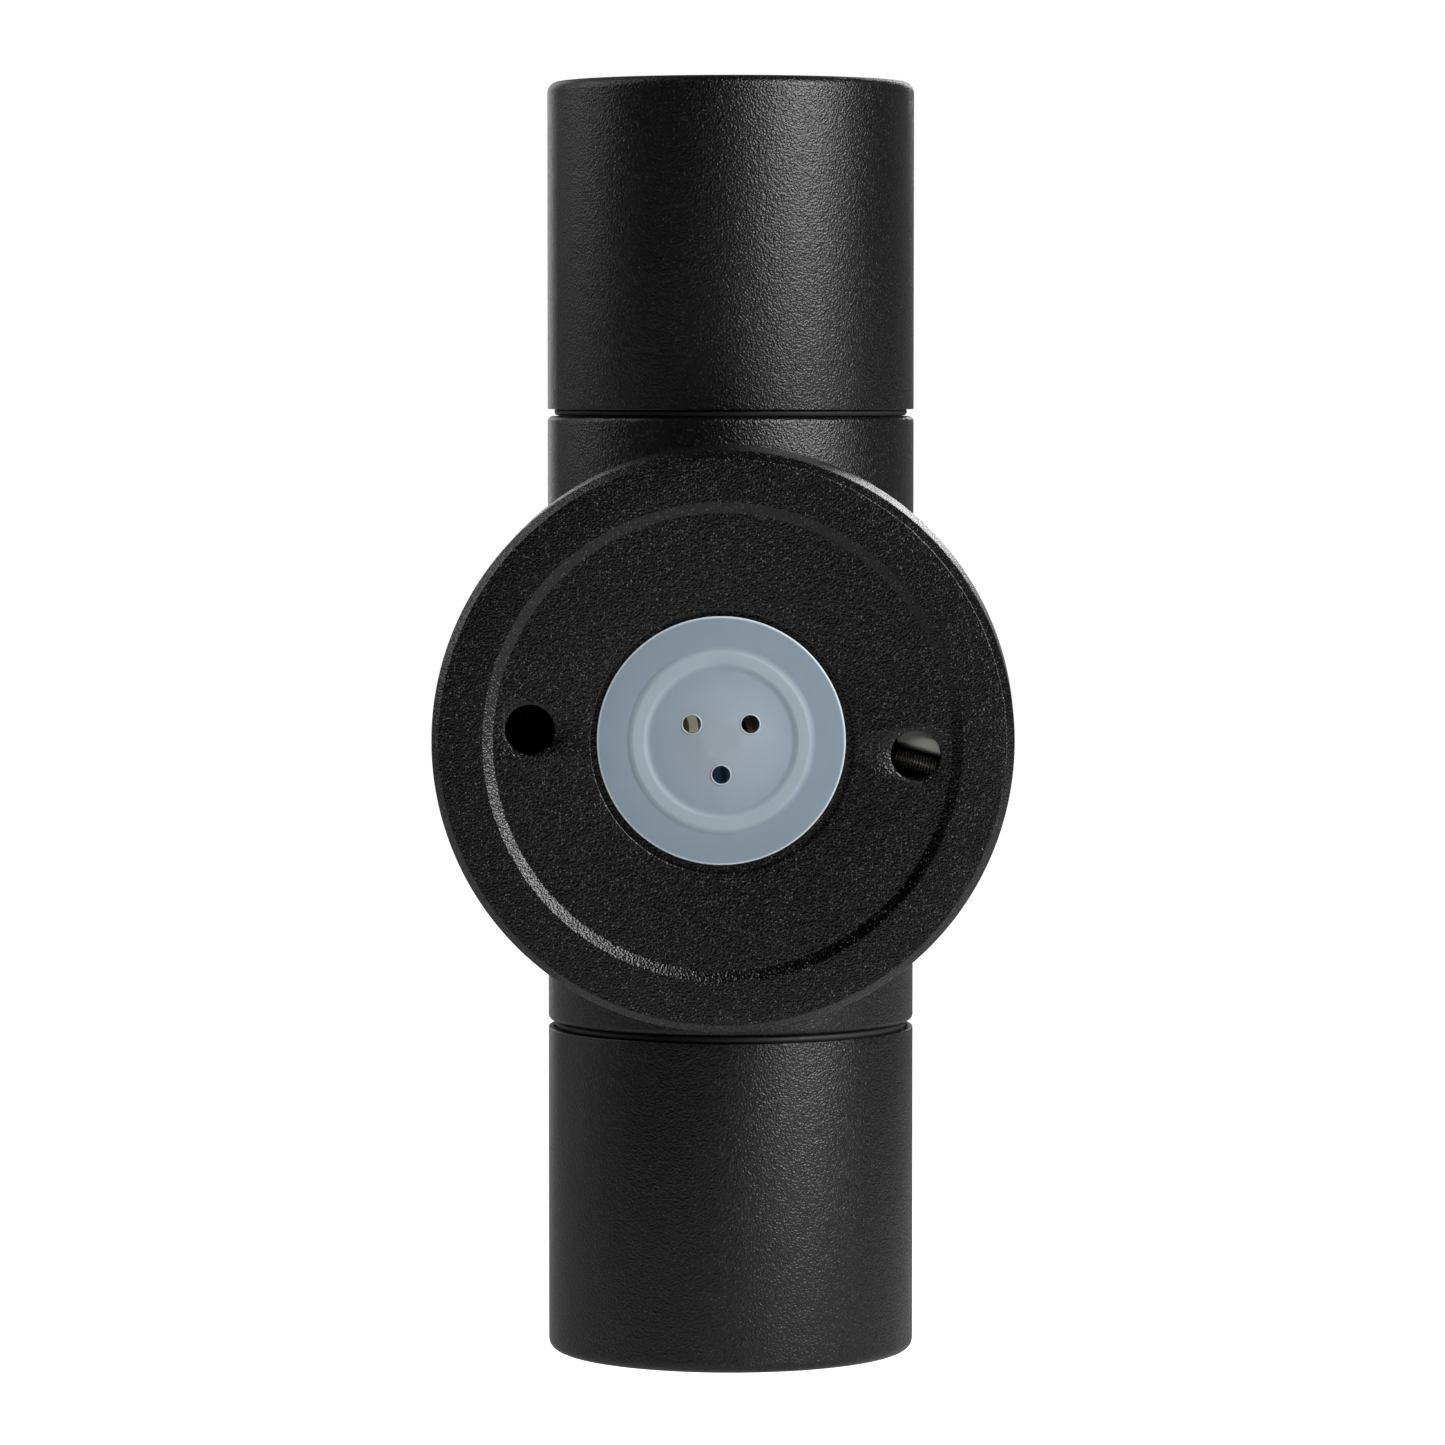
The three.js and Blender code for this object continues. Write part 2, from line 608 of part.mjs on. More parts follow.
// A flat pane with a small bevel round both faces.
function glass() {
  const [z0, z1] = [GLASS_TOP - GLASS.thick, GLASS_TOP];
  const bevel = 0.3;
  return solid(turned([
    [0, z0],
    [GLASS.r - bevel, z0],
    [GLASS.r, z0 + bevel],
    [GLASS.r, z1 - bevel],
    [GLASS.r - bevel, z1],
    [0, z1],
  ]));
}

const glassGasket = () =>
  tubeRing(GLASS.openR, GLASS.r, GLASS.lip - EASE - GLASS.gasket, GLASS.lip - EASE);

// Spring ring that snaps into the cap's groove; its two ends leave a gap for the pliers.
function retainingRing() {
  const ring = tubeRing(26.1, CAP_BORE_R + 0.5, RING_TOP - GLASS.ring, RING_TOP);
  const ears = [-1, 1].map((side) => rod(2, RING_TOP - GLASS.ring, RING_TOP, side * 4, 25.3, 12));
  const gap = block(-2.4, 2.4, 20, 32, RING_TOP - 4, RING_TOP + 1);
  const plierHoles = [-1, 1].map((side) => rod(0.8, RING_TOP - 4, RING_TOP + 1, side * 4, 25.3, 8));
  return cut(join(ring, ...ears), gap, ...plierHoles);
}

const CAP_SEAL_R = THREAD_R + 0.45;
const capSeal = () =>
  solid(new THREE.TorusGeometry(CAP_SEAL_R, 0.65, 5, OUTER_SIDES).translate(0, 0, TUBE_HALF + 0.8));

// Everything at one end of the column, with the lamp pointing along +Z.
function columnEnd(prefix) {
  const end = new THREE.Group();
  end.add(
    piece(`${prefix}_cap_seal`, capSeal(), FINISH.rubber),
    piece(`${prefix}_holder_bracket`, holderBracket(), FINISH.zinc),
    piece(`${prefix}_lampholder`, lampholder(), FINISH.ceramic),
    piece(`${prefix}_lamp_shell`, lampShell(), FINISH.lampShell),
    piece(`${prefix}_lamp_lens`, lampLens(), FINISH.lampLens),
    piece(`${prefix}_lamp_pin_1`, lampPin(-1), FINISH.brass),
    piece(`${prefix}_lamp_pin_2`, lampPin(1), FINISH.brass),
    piece(`${prefix}_glass`, glass(), FINISH.glass),
    piece(`${prefix}_glass_gasket`, glassGasket(), FINISH.silicone),
    piece(`${prefix}_retaining_ring`, retainingRing(), FINISH.zinc),
    piece(`${prefix}_cap`, cap(), FINISH.blackCoat),
  );
  [-1, 1].forEach((side, i) => {
    const screw = piece(`${prefix}_bracket_screw_${i + 1}`, panScrew(1.4, 8, 2.7, 1.8), FINISH.zinc);
    screw.position.set(side * BRACKET_SCREW_X, 0, BRACKET_AT + BRACKET_THICK + EASE);
    end.add(screw);
  });
  return end;
}

// ---------------------------------------------------------------- wires

// A point given in the wall frame, as a point of the whole light.
const inWall = (x, height, depth) => new THREE.Vector3(x, -depth, height);

// A lamp's wire: out of the holder, through the nipple, and into its pole of the block.
function lampWire(holderX, end, poleX, bend) {
  const inBore = 1.25 * Math.sign(holderX);
  const height = 1.25 * end;
  const atPole = poleX + 1.05 * end;
  return wire([
    inWall(holderX, end * (HOLDER_FLOOR + 3), COLUMN_DEPTH),
    inWall(holderX, end * (HOLDER_FLOOR - 8), COLUMN_DEPTH),
    inWall(holderX * 0.7, end * 12, COLUMN_DEPTH - 6),
    inWall(inBore, height, COLUMN_DEPTH - 18),
    inWall(inBore, height, COLUMN_DEPTH - 24),
    inWall(inBore, height, CANOPY_INNER),
    inWall(inBore + 0.5 * end, height, CANOPY_INNER - 5.5),
    inWall(bend.x + 1.35 * end, bend.height, bend.depth),
    inWall(atPole, BLOCK.high + 4, POLE_DEPTH - 0.5),
    inWall(atPole, BLOCK.high - 1.7, POLE_DEPTH),
  ]);
}

function earthWire(lugDepth) {
  return wire([
    inWall(POLE_X.earth, BLOCK.high - 1.7, POLE_DEPTH),
    inWall(POLE_X.earth, BLOCK.high + 4, POLE_DEPTH - 0.5),
    inWall(6, -4, 16.5),
    inWall(4.9, 2.6, 15.5),
    inWall(EARTH_AT.x - 1, EARTH_AT.height - 17, lugDepth - 3),
    inWall(EARTH_AT.x, EARTH_AT.height - 12, lugDepth - 0.9),
    inWall(EARTH_AT.x, EARTH_AT.height - 9, lugDepth - 0.9),
  ]);
}

// ---------------------------------------------------------------- assembly

function wallGroup() {
  const group = new THREE.Group();
  group.rotation.x = Math.PI / 2;

  const grommet = piece("cable_grommet", cableGrommet(), FINISH.silicone);
  grommet.position.set(GROMMET_AT.x, GROMMET_AT.height, 0);
  const sealDepth = (SEAL_GROOVE.rear + SEAL_GROOVE.front) / 2;
  const seal = new THREE.TorusGeometry(SPIGOT_R - 0.35, 0.75, 5, OUTER_SIDES);
  group.add(
    piece("wall_plate", wallPlate(), FINISH.blackCoat),
    piece("canopy_seal", solid(seal.translate(0, 0, sealDepth)), FINISH.rubber),
    piece("canopy", canopy(), FINISH.blackCoat),
    grommet,
  );

  const neckRear = CANOPY_FRONT + 1;
  group.add(
    piece("neck_gasket", tubeRing(5.4, NECK_R, CANOPY_FRONT + EASE, neckRear - EASE), FINISH.rubber),
    piece("neck", neck(neckRear), FINISH.blackCoat),
    piece("threaded_nipple", tubeRing(NIPPLE_BORE_R, NIPPLE_R, 23.5, NUT_SEAT + 6), FINISH.zinc),
    piece("canopy_washer", tubeRing(5.2, 8.4, CANOPY_INNER - 0.9, CANOPY_INNER - EASE), FINISH.zinc),
    piece("canopy_nut", hexNut(8.1, NIPPLE_R + 0.1, CANOPY_INNER - 3.6, CANOPY_INNER - 1), FINISH.zinc),
    piece("tube_washer", tubeRing(5.2, 8.4, NUT_SEAT + EASE, NUT_SEAT + 0.9), FINISH.zinc),
    piece("tube_nut", hexNut(8.1, NIPPLE_R + 0.1, NUT_SEAT + 1, NUT_SEAT + 4.2), FINISH.zinc),
  );

  const lock = new THREE.Group();
  lock.position.set(LOCK_POINT.x, LOCK_POINT.height, LOCK_POINT.depth);
  lock.rotation.z = LOCK_TILT;
  lock.add(
    piece("lock_screw", lockScrew(), FINISH.zinc),
    piece("lock_screw_bracket", lockScrewBracket(), FINISH.zinc),
  );
  const footScrew = piece("lock_bracket_screw", panScrew(1.4, 2.8, 2.7, 1.8), FINISH.zinc);
  footScrew.rotation.x = Math.PI;
  footScrew.position.set(LOCK_FOOT.x, LOCK_FOOT.y, CANOPY_INNER - STRIP.thick - 2 * EASE);
  group.add(lock, footScrew, ...terminals(), ...earthParts());
  return group;
}

function terminals() {
  const blockScrew = piece("terminal_block_screw", panScrew(1.4, 10.4, 2.7, 1.8), FINISH.zinc);
  blockScrew.rotation.x = Math.PI;
  blockScrew.position.set(BLOCK_SCREW_X, BLOCK_MID, BLOCK.rear + 3.4 - EASE);
  const clamps = Object.entries(POLE_X).map(([pole, x]) =>
    piece(`${pole}_clamp`, terminalClamp(x), FINISH.brass),
  );
  const screws = Object.entries(POLE_X).flatMap(([pole, x]) =>
    clampHeights.map((y, i) => piece(`${pole}_clamp_screw_${i + 1}`, clampScrew(x, y), FINISH.zinc)),
  );
  return [
    piece("terminal_block", terminalBlock(), FINISH.blockPlastic),
    blockScrew,
    ...clamps,
    ...screws,
  ];
}

function earthParts() {
  const screw = piece("earth_screw", panScrew(1.8, 3.6, 3.7, 2.4), FINISH.brass);
  screw.rotation.x = Math.PI;
  screw.position.set(EARTH_AT.x, EARTH_AT.height, LUG_DEPTH - EASE);
  return [piece("earth_lug", earthLug(LUG_DEPTH), FINISH.brass), screw];
}

function columnGroup() {
  const group = new THREE.Group();
  group.position.y = -COLUMN_DEPTH;
  const lower = columnEnd("lower");
  lower.rotation.x = Math.PI;
  group.add(piece("body_tube", bodyTube(), FINISH.blackCoat), columnEnd("upper"), lower);
  return group;
}

function wires() {
  const liveBend = { x: -5.2, height: 0, depth: 16.5 };
  const neutralBend = { x: 0, height: -6, depth: 16 };
  return [
    piece("upper_live_wire", lampWire(-4, 1, POLE_X.live, liveBend), FINISH.brown),
    piece("lower_live_wire", lampWire(-4, -1, POLE_X.live, liveBend), FINISH.brown),
    piece("upper_neutral_wire", lampWire(4, 1, POLE_X.neutral, neutralBend), FINISH.blue),
    piece("lower_neutral_wire", lampWire(4, -1, POLE_X.neutral, neutralBend), FINISH.blue),
    piece("earth_wire", earthWire(LUG_DEPTH), FINISH.greenYellow),
  ];
}

const light = new THREE.Group();
light.add(wallGroup(), columnGroup(), ...wires());

export default light;
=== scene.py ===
import json
import math

import bmesh
import bpy
from mathutils import Matrix, Vector

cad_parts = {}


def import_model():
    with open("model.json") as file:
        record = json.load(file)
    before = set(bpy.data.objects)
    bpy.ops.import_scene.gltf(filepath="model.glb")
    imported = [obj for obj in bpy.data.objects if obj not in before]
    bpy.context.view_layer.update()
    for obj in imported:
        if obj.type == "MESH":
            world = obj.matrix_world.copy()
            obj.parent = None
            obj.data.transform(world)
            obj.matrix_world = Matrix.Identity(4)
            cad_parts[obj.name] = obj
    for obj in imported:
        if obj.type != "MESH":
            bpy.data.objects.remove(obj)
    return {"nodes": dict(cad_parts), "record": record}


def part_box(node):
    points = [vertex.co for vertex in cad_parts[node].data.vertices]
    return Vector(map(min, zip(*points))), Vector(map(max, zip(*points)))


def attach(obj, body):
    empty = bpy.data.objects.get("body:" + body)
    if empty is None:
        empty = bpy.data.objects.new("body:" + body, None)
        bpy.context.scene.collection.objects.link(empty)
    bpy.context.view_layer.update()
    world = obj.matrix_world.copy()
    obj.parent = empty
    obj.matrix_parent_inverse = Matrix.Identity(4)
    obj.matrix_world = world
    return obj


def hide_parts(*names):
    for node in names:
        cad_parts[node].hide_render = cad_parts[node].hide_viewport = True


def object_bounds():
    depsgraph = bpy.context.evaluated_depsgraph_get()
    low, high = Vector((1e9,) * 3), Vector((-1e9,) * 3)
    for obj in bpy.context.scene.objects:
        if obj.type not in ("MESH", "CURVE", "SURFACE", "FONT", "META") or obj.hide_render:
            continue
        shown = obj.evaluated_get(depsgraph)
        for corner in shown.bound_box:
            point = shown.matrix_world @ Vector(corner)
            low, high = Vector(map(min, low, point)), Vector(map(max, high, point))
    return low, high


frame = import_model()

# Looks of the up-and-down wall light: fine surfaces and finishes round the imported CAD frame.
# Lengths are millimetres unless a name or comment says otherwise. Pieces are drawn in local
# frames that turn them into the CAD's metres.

CAD_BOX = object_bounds()
MM = 0.001
ROUND = 192  # segments of a round surface
FINE_ROUND = 256  # the same for the largest outside surfaces
SMALL_ROUND = 64

# ------------------------------------------------------------------ places, read from the frame


def corners_mm(node):
    """A CAD node's lowest and highest corners at rest, in millimetres."""
    low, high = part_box(node)
    return Vector(low) / MM, Vector(high) / MM


TUBE_LOW, TUBE_HIGH = corners_mm("body_tube")
COLUMN_R = (TUBE_HIGH.x - TUBE_LOW.x) / 2
COLUMN_Y = (TUBE_HIGH.y + TUBE_LOW.y) / 2
CAP_LOW, CAP_HIGH = corners_mm("upper_cap")
TOP = CAP_HIGH.z
CAP_START = CAP_LOW.z
SEAM = 1.2  # the shadow gap between a cap and the middle of the column
TUBE_END = CAP_START - SEAM
PLATE_R = corners_mm("wall_plate")[1].x
CANOPY_LOW, CANOPY_HIGH = corners_mm("canopy")
CANOPY_FRONT = -CANOPY_LOW.y
CANOPY_REAR = -CANOPY_HIGH.y
CANOPY_R = CANOPY_HIGH.x
NECK_REAR = -corners_mm("neck")[1].y
GROMMET_LOW, GROMMET_HIGH = corners_mm("cable_grommet")
GROMMET_X = (GROMMET_LOW.x + GROMMET_HIGH.x) / 2
GROMMET_Z = (GROMMET_LOW.z + GROMMET_HIGH.z) / 2
GROMMET_R = (GROMMET_HIGH.x - GROMMET_LOW.x) / 2

# Local frames in which pieces are turned: millimetres in, the CAD's metres out. In the wall's, Z
# is the depth from the wall plane towards the room; in the column's, Z is up, or down for the
# lower end.
WALL_FRAME = Matrix.Scale(MM, 4) @ Matrix.Rotation(math.radians(90), 4, "X")
COLUMN_FRAME = Matrix.Scale(MM, 4) @ Matrix.Translation((0, COLUMN_Y, 0))
LOWER_END = COLUMN_FRAME @ Matrix.Rotation(math.pi, 4, "X")
ENDS = {"upper": COLUMN_FRAME, "lower": LOWER_END}


def joint_of(name):
    """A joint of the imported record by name."""
    joints = frame["record"]["behaviour"]["joints"]
    return next(joint for joint in joints if joint["name"] == name)


# ------------------------------------------------------------------ mesh helpers


def arc_corner(before, corner, after, radius, steps=6):
    """Points that round one corner of an outline with the given radius."""
    a = (Vector(before) - Vector(corner)).normalized()
    b = (Vector(after) - Vector(corner)).normalized()
    half = math.acos(max(-1.0, min(1.0, a.dot(b)))) / 2
    if half > math.radians(88):
        return [Vector(corner)]
    reach = radius / math.tan(half)
    centre = Vector(corner) + (a + b).normalized() * (radius / math.sin(half))
    start = Vector(corner) + a * reach - centre
    turn = start.angle_signed(Vector(corner) + b * reach - centre)
    points = []
    for i in range(steps + 1):
        angle = -turn * i / steps
        cos, sin = math.cos(angle), math.sin(angle)
        points.append(centre + Vector((start.x * cos - start.y * sin, start.x * sin + start.y * cos)))
    return points


def rounded(outline, closed=True):
    """An outline of (r, z) or (r, z, fillet) points with its corners rounded."""
    count = len(outline)
    points = []
    for i, point in enumerate(outline):
        inner = closed or 0 < i < count - 1
        if len(point) > 2 and inner:
            points += arc_corner(outline[i - 1][:2], point[:2], outline[(i + 1) % count][:2], point[2])
        else:
            points.append(Vector(point[:2]))
    return points


def new_object(name, data):
    piece = bpy.data.objects.new(name, data)
    bpy.context.scene.collection.objects.link(piece)
    return piece


def from_bmesh(name, work, place):
    """A new object from finished bmesh work drawn in the given frame."""
    mesh = bpy.data.meshes.new(name)
    work.to_mesh(mesh)
    work.free()
    mesh.transform(place)
    return new_object(name, mesh)


def finish_shading(piece, angle=32):
    """Smooth surfaces that keep the edges sharper than the given angle."""
    mesh = piece.data
    mesh.polygons.foreach_set("use_smooth", [True] * len(mesh.polygons))
    mesh.set_sharp_from_angle(angle=math.radians(angle))
    mesh.update()


def turned(name, outline, place, segments=ROUND):
    """A closed (radius, height, fillet) outline turned about the local Z axis."""
    on_axis = outline[0][0] == 0
    points = rounded(outline, closed=not on_axis)
    work = bmesh.new()
    rings = []
    for r, z in points:
        if r < 1e-6:
            rings.append([work.verts.new((0, 0, z))] * segments)
            continue
        angles = (2 * math.pi * i / segments for i in range(segments))
        rings.append([work.verts.new((r * math.cos(a), r * math.sin(a), z)) for a in angles])
    pairs = list(zip(rings, rings[1:]))
    if not on_axis:
        pairs.append((rings[-1], rings[0]))
    for low, high in pairs:
        for i in range(segments):
            k = (i + 1) % segments
            corners = [low[i], low[k], high[k], high[i]]
            unique = [v for n, v in enumerate(corners) if v not in corners[:n]]
            if len(unique) > 2:
                work.faces.new(unique)
    bmesh.ops.recalc_face_normals(work, faces=work.faces)
    piece = from_bmesh(name, work, place)
    finish_shading(piece)
    return piece


def circle(r, z, radius, steps):
    """A round section's outline about the point (r, z)."""
    turns = (2 * math.pi * i / steps for i in range(steps))
    return [(r + radius * math.cos(a), z + radius * math.sin(a)) for a in turns]


def applied(piece):
    """The piece's mesh with its modifiers made real."""
    depsgraph = bpy.context.evaluated_depsgraph_get()
    mesh = bpy.data.meshes.new_from_object(piece.evaluated_get(depsgraph))
    piece.modifiers.clear()
    piece.data = mesh


def boolean(piece, operation, tools):
    """Joins or cuts the piece with each tool, and removes the tools."""
    for tool in tools:
        modifier = piece.modifiers.new("boolean", "BOOLEAN")
        modifier.operation = operation
        modifier.solver = "EXACT"
        modifier.object = tool
        applied(piece)
        bpy.data.objects.remove(tool)
    finish_shading(piece)


def cylinder(name, r, z0, z1, place, segments=SMALL_ROUND):
    return turned(name, [(0, z0), (r, z0), (r, z1), (0, z1)], place, segments)


# ------------------------------------------------------------------ material helpers


class Material:
    """A node-based finish built on one Principled shader, in the piece's own coordinates."""

    def __init__(self, name, colour, roughness, metallic=0.0):
        self.material = bpy.data.materials.new(name)
        self.material.use_nodes = True
        self.nodes = self.material.node_tree.nodes
        self.links = self.material.node_tree.links
        self.shader = self.nodes["Principled BSDF"]
        self.coords = self.nodes.new("ShaderNodeTexCoord").outputs["Object"]
        self.set("Base Color", (*colour, 1))
        self.set("Roughness", roughness)
        self.set("Metallic", metallic)
        self.height = None

    def set(self, socket, value):
        """Gives one of the shader's sockets a fixed value."""
        self.shader.inputs[socket].default_value = value

    def noise(self, size_mm, detail=2.0, roughness=0.5, stretch=(1, 1, 1), distortion=0.0):
        """Noise whose features are about the given size."""
        mapping = self.nodes.new("ShaderNodeMapping")
        mapping.inputs["Scale"].default_value = stretch
        texture = self.nodes.new("ShaderNodeTexNoise")
        texture.inputs["Scale"].default_value = 1 / (size_mm * MM)
        texture.inputs["Detail"].default_value = detail
        texture.inputs["Roughness"].default_value = roughness
        texture.inputs["Distortion"].default_value = distortion
        self.links.new(self.coords, mapping.inputs["Vector"])
        self.links.new(mapping.outputs["Vector"], texture.inputs["Vector"])
        return texture.outputs["Fac"]

    def glint_dots(self, spacing_mm, reach, share):
        """Round dots in a share of cells this far apart, each as bright as its cell's chance value."""
        texture = self.nodes.new("ShaderNodeTexVoronoi")
        texture.inputs["Scale"].default_value = 1 / (spacing_mm * MM)
        self.links.new(self.coords, texture.inputs["Vector"])
        value = self.nodes.new("ShaderNodeSeparateColor")
        self.links.new(texture.outputs["Color"], value.inputs["Color"])
        dots = self.nodes.new("ShaderNodeMath")
        dots.operation = "MULTIPLY"
        self.links.new(self.mapped(texture.outputs["Distance"], 0, reach, 1, 0), dots.inputs[0])
        self.links.new(self.mapped(value.outputs["Red"], 1 - share, 1, 0, 1), dots.inputs[1])
        return dots.outputs["Value"]

    def axis_distance(self, x, z):
        """Distance in metres from a line along Y through the given x and z, in millimetres."""
        flat = self.nodes.new("ShaderNodeVectorMath")
        flat.operation = "MULTIPLY"
        flat.inputs[1].default_value = (1, 0, 1)
        reach = self.nodes.new("ShaderNodeVectorMath")
        reach.operation = "DISTANCE"
        reach.inputs[1].default_value = (x * MM, 0, z * MM)
        self.links.new(self.coords, flat.inputs[0])
        self.links.new(flat.outputs["Vector"], reach.inputs[0])
        return reach.outputs["Value"]

    def ramp(self, value, stops):
        """A colour picked along a ramp of (position, colour) stops."""
        node = self.nodes.new("ShaderNodeValToRGB")
        steps = node.color_ramp.elements
        while len(steps) < len(stops):
            steps.new(1.0)
        for step, (position, colour) in zip(steps, stops):
            step.position = position
            step.color = (*colour, 1)
        self.links.new(value, node.inputs["Fac"])
        return node.outputs["Color"]

    def multiplied(self, first, second):
        """Two colours multiplied together."""
        node = self.nodes.new("ShaderNodeMix")
        node.data_type = "RGBA"
        node.blend_type = "MULTIPLY"
        node.inputs["Factor"].default_value = 1
        self.links.new(first, node.inputs[6])
        self.links.new(second, node.inputs[7])
        return node.outputs[2]

    def cells(self, size_mm, smoothness):
        """Smooth rounded cells about the given size."""
        texture = self.nodes.new("ShaderNodeTexVoronoi")
        texture.feature = "SMOOTH_F1"
        texture.inputs["Scale"].default_value = 1 / (size_mm * MM)
        texture.inputs["Smoothness"].default_value = smoothness
        self.links.new(self.coords, texture.inputs["Vector"])
        return texture.outputs["Distance"]

    def mapped(self, value, low, high, to_low, to_high):
        """A value stretched from one range to another, kept inside it."""
        node = self.nodes.new("ShaderNodeMapRange")
        inputs = node.inputs
        limits = (low, high, to_low, to_high)
        for socket, limit in zip(("From Min", "From Max", "To Min", "To Max"), limits):
            inputs[socket].default_value = limit
        self.links.new(value, inputs["Value"])
        return node.outputs["Result"]

    def mixed(self, share, first, second):
        """A colour between two, by share."""
        node = self.nodes.new("ShaderNodeMix")
        node.data_type = "RGBA"
        self.links.new(share, node.inputs["Factor"])
        node.inputs[6].default_value = (*first, 1)
        node.inputs[7].default_value = (*second, 1)
        return node.outputs[2]

    def drive(self, socket, value):
        """Feeds one of the shader's sockets from a node."""
        self.links.new(value, self.shader.inputs[socket])

    def bump(self, value, depth_mm):
        """Adds a layer of relief of the given depth."""
        node = self.nodes.new("ShaderNodeBump")
        node.inputs["Strength"].default_value = 1.0
        node.inputs["Distance"].default_value = depth_mm * MM
        self.links.new(value, node.inputs["Height"])
        if self.height:
            self.links.new(self.height, node.inputs["Normal"])
        self.height = node.outputs["Normal"]
        self.drive("Normal", self.height)


def powder_coat(name, shade, grain, relief, roughness, glint_spacing, glint_tone, gloss):
    """Fine-textured black powder coat: leathery grain, painted glints as pale dots in its colour,
    slightly uneven gloss.
    """
    coat = Material(name, (shade, shade, shade), roughness)
    coat.set("Specular IOR Level", gloss)
    coat.bump(coat.noise(grain, detail=1, roughness=0.4), relief)
    gloss_change = coat.noise(grain * 0.7, detail=1)
    coat.drive("Roughness", coat.mapped(gloss_change, 0.3, 0.7, roughness + 0.04, roughness - 0.04))
    worn = coat.mapped(coat.noise(14, detail=3), 0.35, 0.65, 0.75, 1.25)
    # Painted glints: sparse pale dots in the base colour stand in for the coat's sparkling highlights.
    pale = coat.glint_dots(glint_spacing, reach=0.45, share=0.4)
    tone = coat.mixed(pale, (shade, shade, shade), (glint_tone, glint_tone, glint_tone * 1.02))
    coat.drive("Base Color", coat.multiplied(tone, worn))
    return coat.material


def milky_silicone():
    """Translucent blue-grey moulded silicone with faint flow marks."""
    soft = Material("milky_silicone", (0.30, 0.37, 0.42), 0.42)
    soft.set("Subsurface Weight", 0.2)
    soft.set("Subsurface Radius", (0.9, 1.0, 1.1))
    soft.set("Subsurface Scale", 0.0015)
    # Thicker silicone is paler: the tone goes by the share of the way from the centre to the rim. The
    # pale last stop at the outer edge is a painted highlight.
    reach = soft.axis_distance(GROMMET_X, GROMMET_Z)
    share = soft.mapped(reach, 0, GROMMET_R * MM, 0, 1)
    rim = (0.198, 0.258, 0.308)
    ring = (0.298, 0.358, 0.400)
    skin = (0.26, 0.314, 0.362)
    depth_tone = soft.ramp(share, [
        (0.0, (0.278, 0.322, 0.366)),
        (0.40, skin),
        (0.585, (0.232, 0.286, 0.334)),
        (0.615, ring),
        (0.715, ring),
        (0.745, (0.212, 0.268, 0.314)),
        (0.93, rim),
        (0.982, rim),
        # painted highlight: a pale band along the grommet's outer edge
        (0.992, (0.52, 0.58, 0.62)),
    ])
    flow = soft.noise(9, detail=4, distortion=0.8)
    cloud = soft.mixed(flow, (0.92, 0.93, 0.94), (1.07, 1.05, 1.04))
    soft.drive("Base Color", soft.multiplied(depth_tone, cloud))
    soft.drive("Roughness", soft.mapped(soft.noise(2.5), 0.3, 0.7, 0.36, 0.5))
    soft.bump(soft.noise(1.2, detail=3), 0.02)
    return soft.material


def plated_steel(name, colour=(0.60, 0.60, 0.58), roughness=0.28):
    """Bright plated steel with drawn scratches and cloudy passivation."""
    plate = Material(name, colour, roughness, metallic=1)
    scratches = plate.noise(0.25, detail=3, stretch=(1, 1, 12))
    plate.bump(scratches, 0.004)
    cloud = plate.noise(3, detail=4)
    plate.drive("Roughness", plate.mapped(cloud, 0.3, 0.75, roughness - 0.08, roughness + 0.14))
    dark = tuple(0.72 * c for c in colour)
    plate.drive("Base Color", plate.mixed(cloud, dark, colour))
    return plate.material


def moulded(name, colour, roughness, grain=0.35, relief=0.008, tint=0.82):
    """Moulded plastic, rubber or ceramic: fine surface grain and slow colour change."""
    body = Material(name, colour, roughness)
    body.bump(body.noise(grain, detail=3), relief)
    cloud = body.noise(6, detail=3)
    dark = tuple(tint * c for c in colour)
    body.drive("Base Color", body.mixed(cloud, dark, colour))
    grainy = body.noise(grain * 2)
    body.drive("Roughness", body.mapped(grainy, 0.3, 0.7, roughness - 0.06, roughness + 0.08))
    return body.material


def insulation(name, colour, painted_glow):
    """Wire insulation with a painted glow: it emits its own colour a little so that it reads in the
    dark behind the grommet's holes.
    """
    body = Material(name, colour, 0.42)
    body.bump(body.noise(0.5, detail=3), 0.01)
    dark = tuple(0.7 * c for c in colour)
    tone = body.mixed(body.noise(2.5, detail=4), dark, colour)
    body.drive("Base Color", tone)
    # Painted glow: the insulation emits its own colour, though the wires hold no lamp.
    body.drive("Emission Color", tone)
    body.set("Emission Strength", painted_glow)
    body.drive("Roughness", body.mapped(body.noise(1.5), 0.3, 0.7, 0.36, 0.5))
    return body.material


def burnished_thread():
    """The lock screw thread's steel, with oily brown staining; the thread roots beneath are painted
    near-black as shade.
    """
    steel = Material("burnished_steel", (0.3, 0.27, 0.22), 0.42, metallic=0.55)
    stain = steel.noise(1.1, detail=4)
    steel.drive("Base Color", steel.mixed(stain, (0.16, 0.12, 0.08), (0.42, 0.39, 0.34)))
    steel.drive("Roughness", steel.mapped(steel.noise(0.4), 0.3, 0.7, 0.34, 0.55))
    steel.bump(steel.noise(0.15, detail=2), 0.006)
    return steel.material


def clear_glass():
    """Toughened flat glass with a little haze and dust."""
    pane = Material("clear_glass", (0.93, 0.97, 0.96), 0.02)
    pane.set("Transmission Weight", 1.0)
    pane.set("IOR", 1.47)
    pane.drive("Roughness", pane.mapped(pane.noise(5, detail=5), 0.45, 0.75, 0.015, 0.09))
    pane.bump(pane.noise(0.9, detail=2), 0.001)
    return pane.material


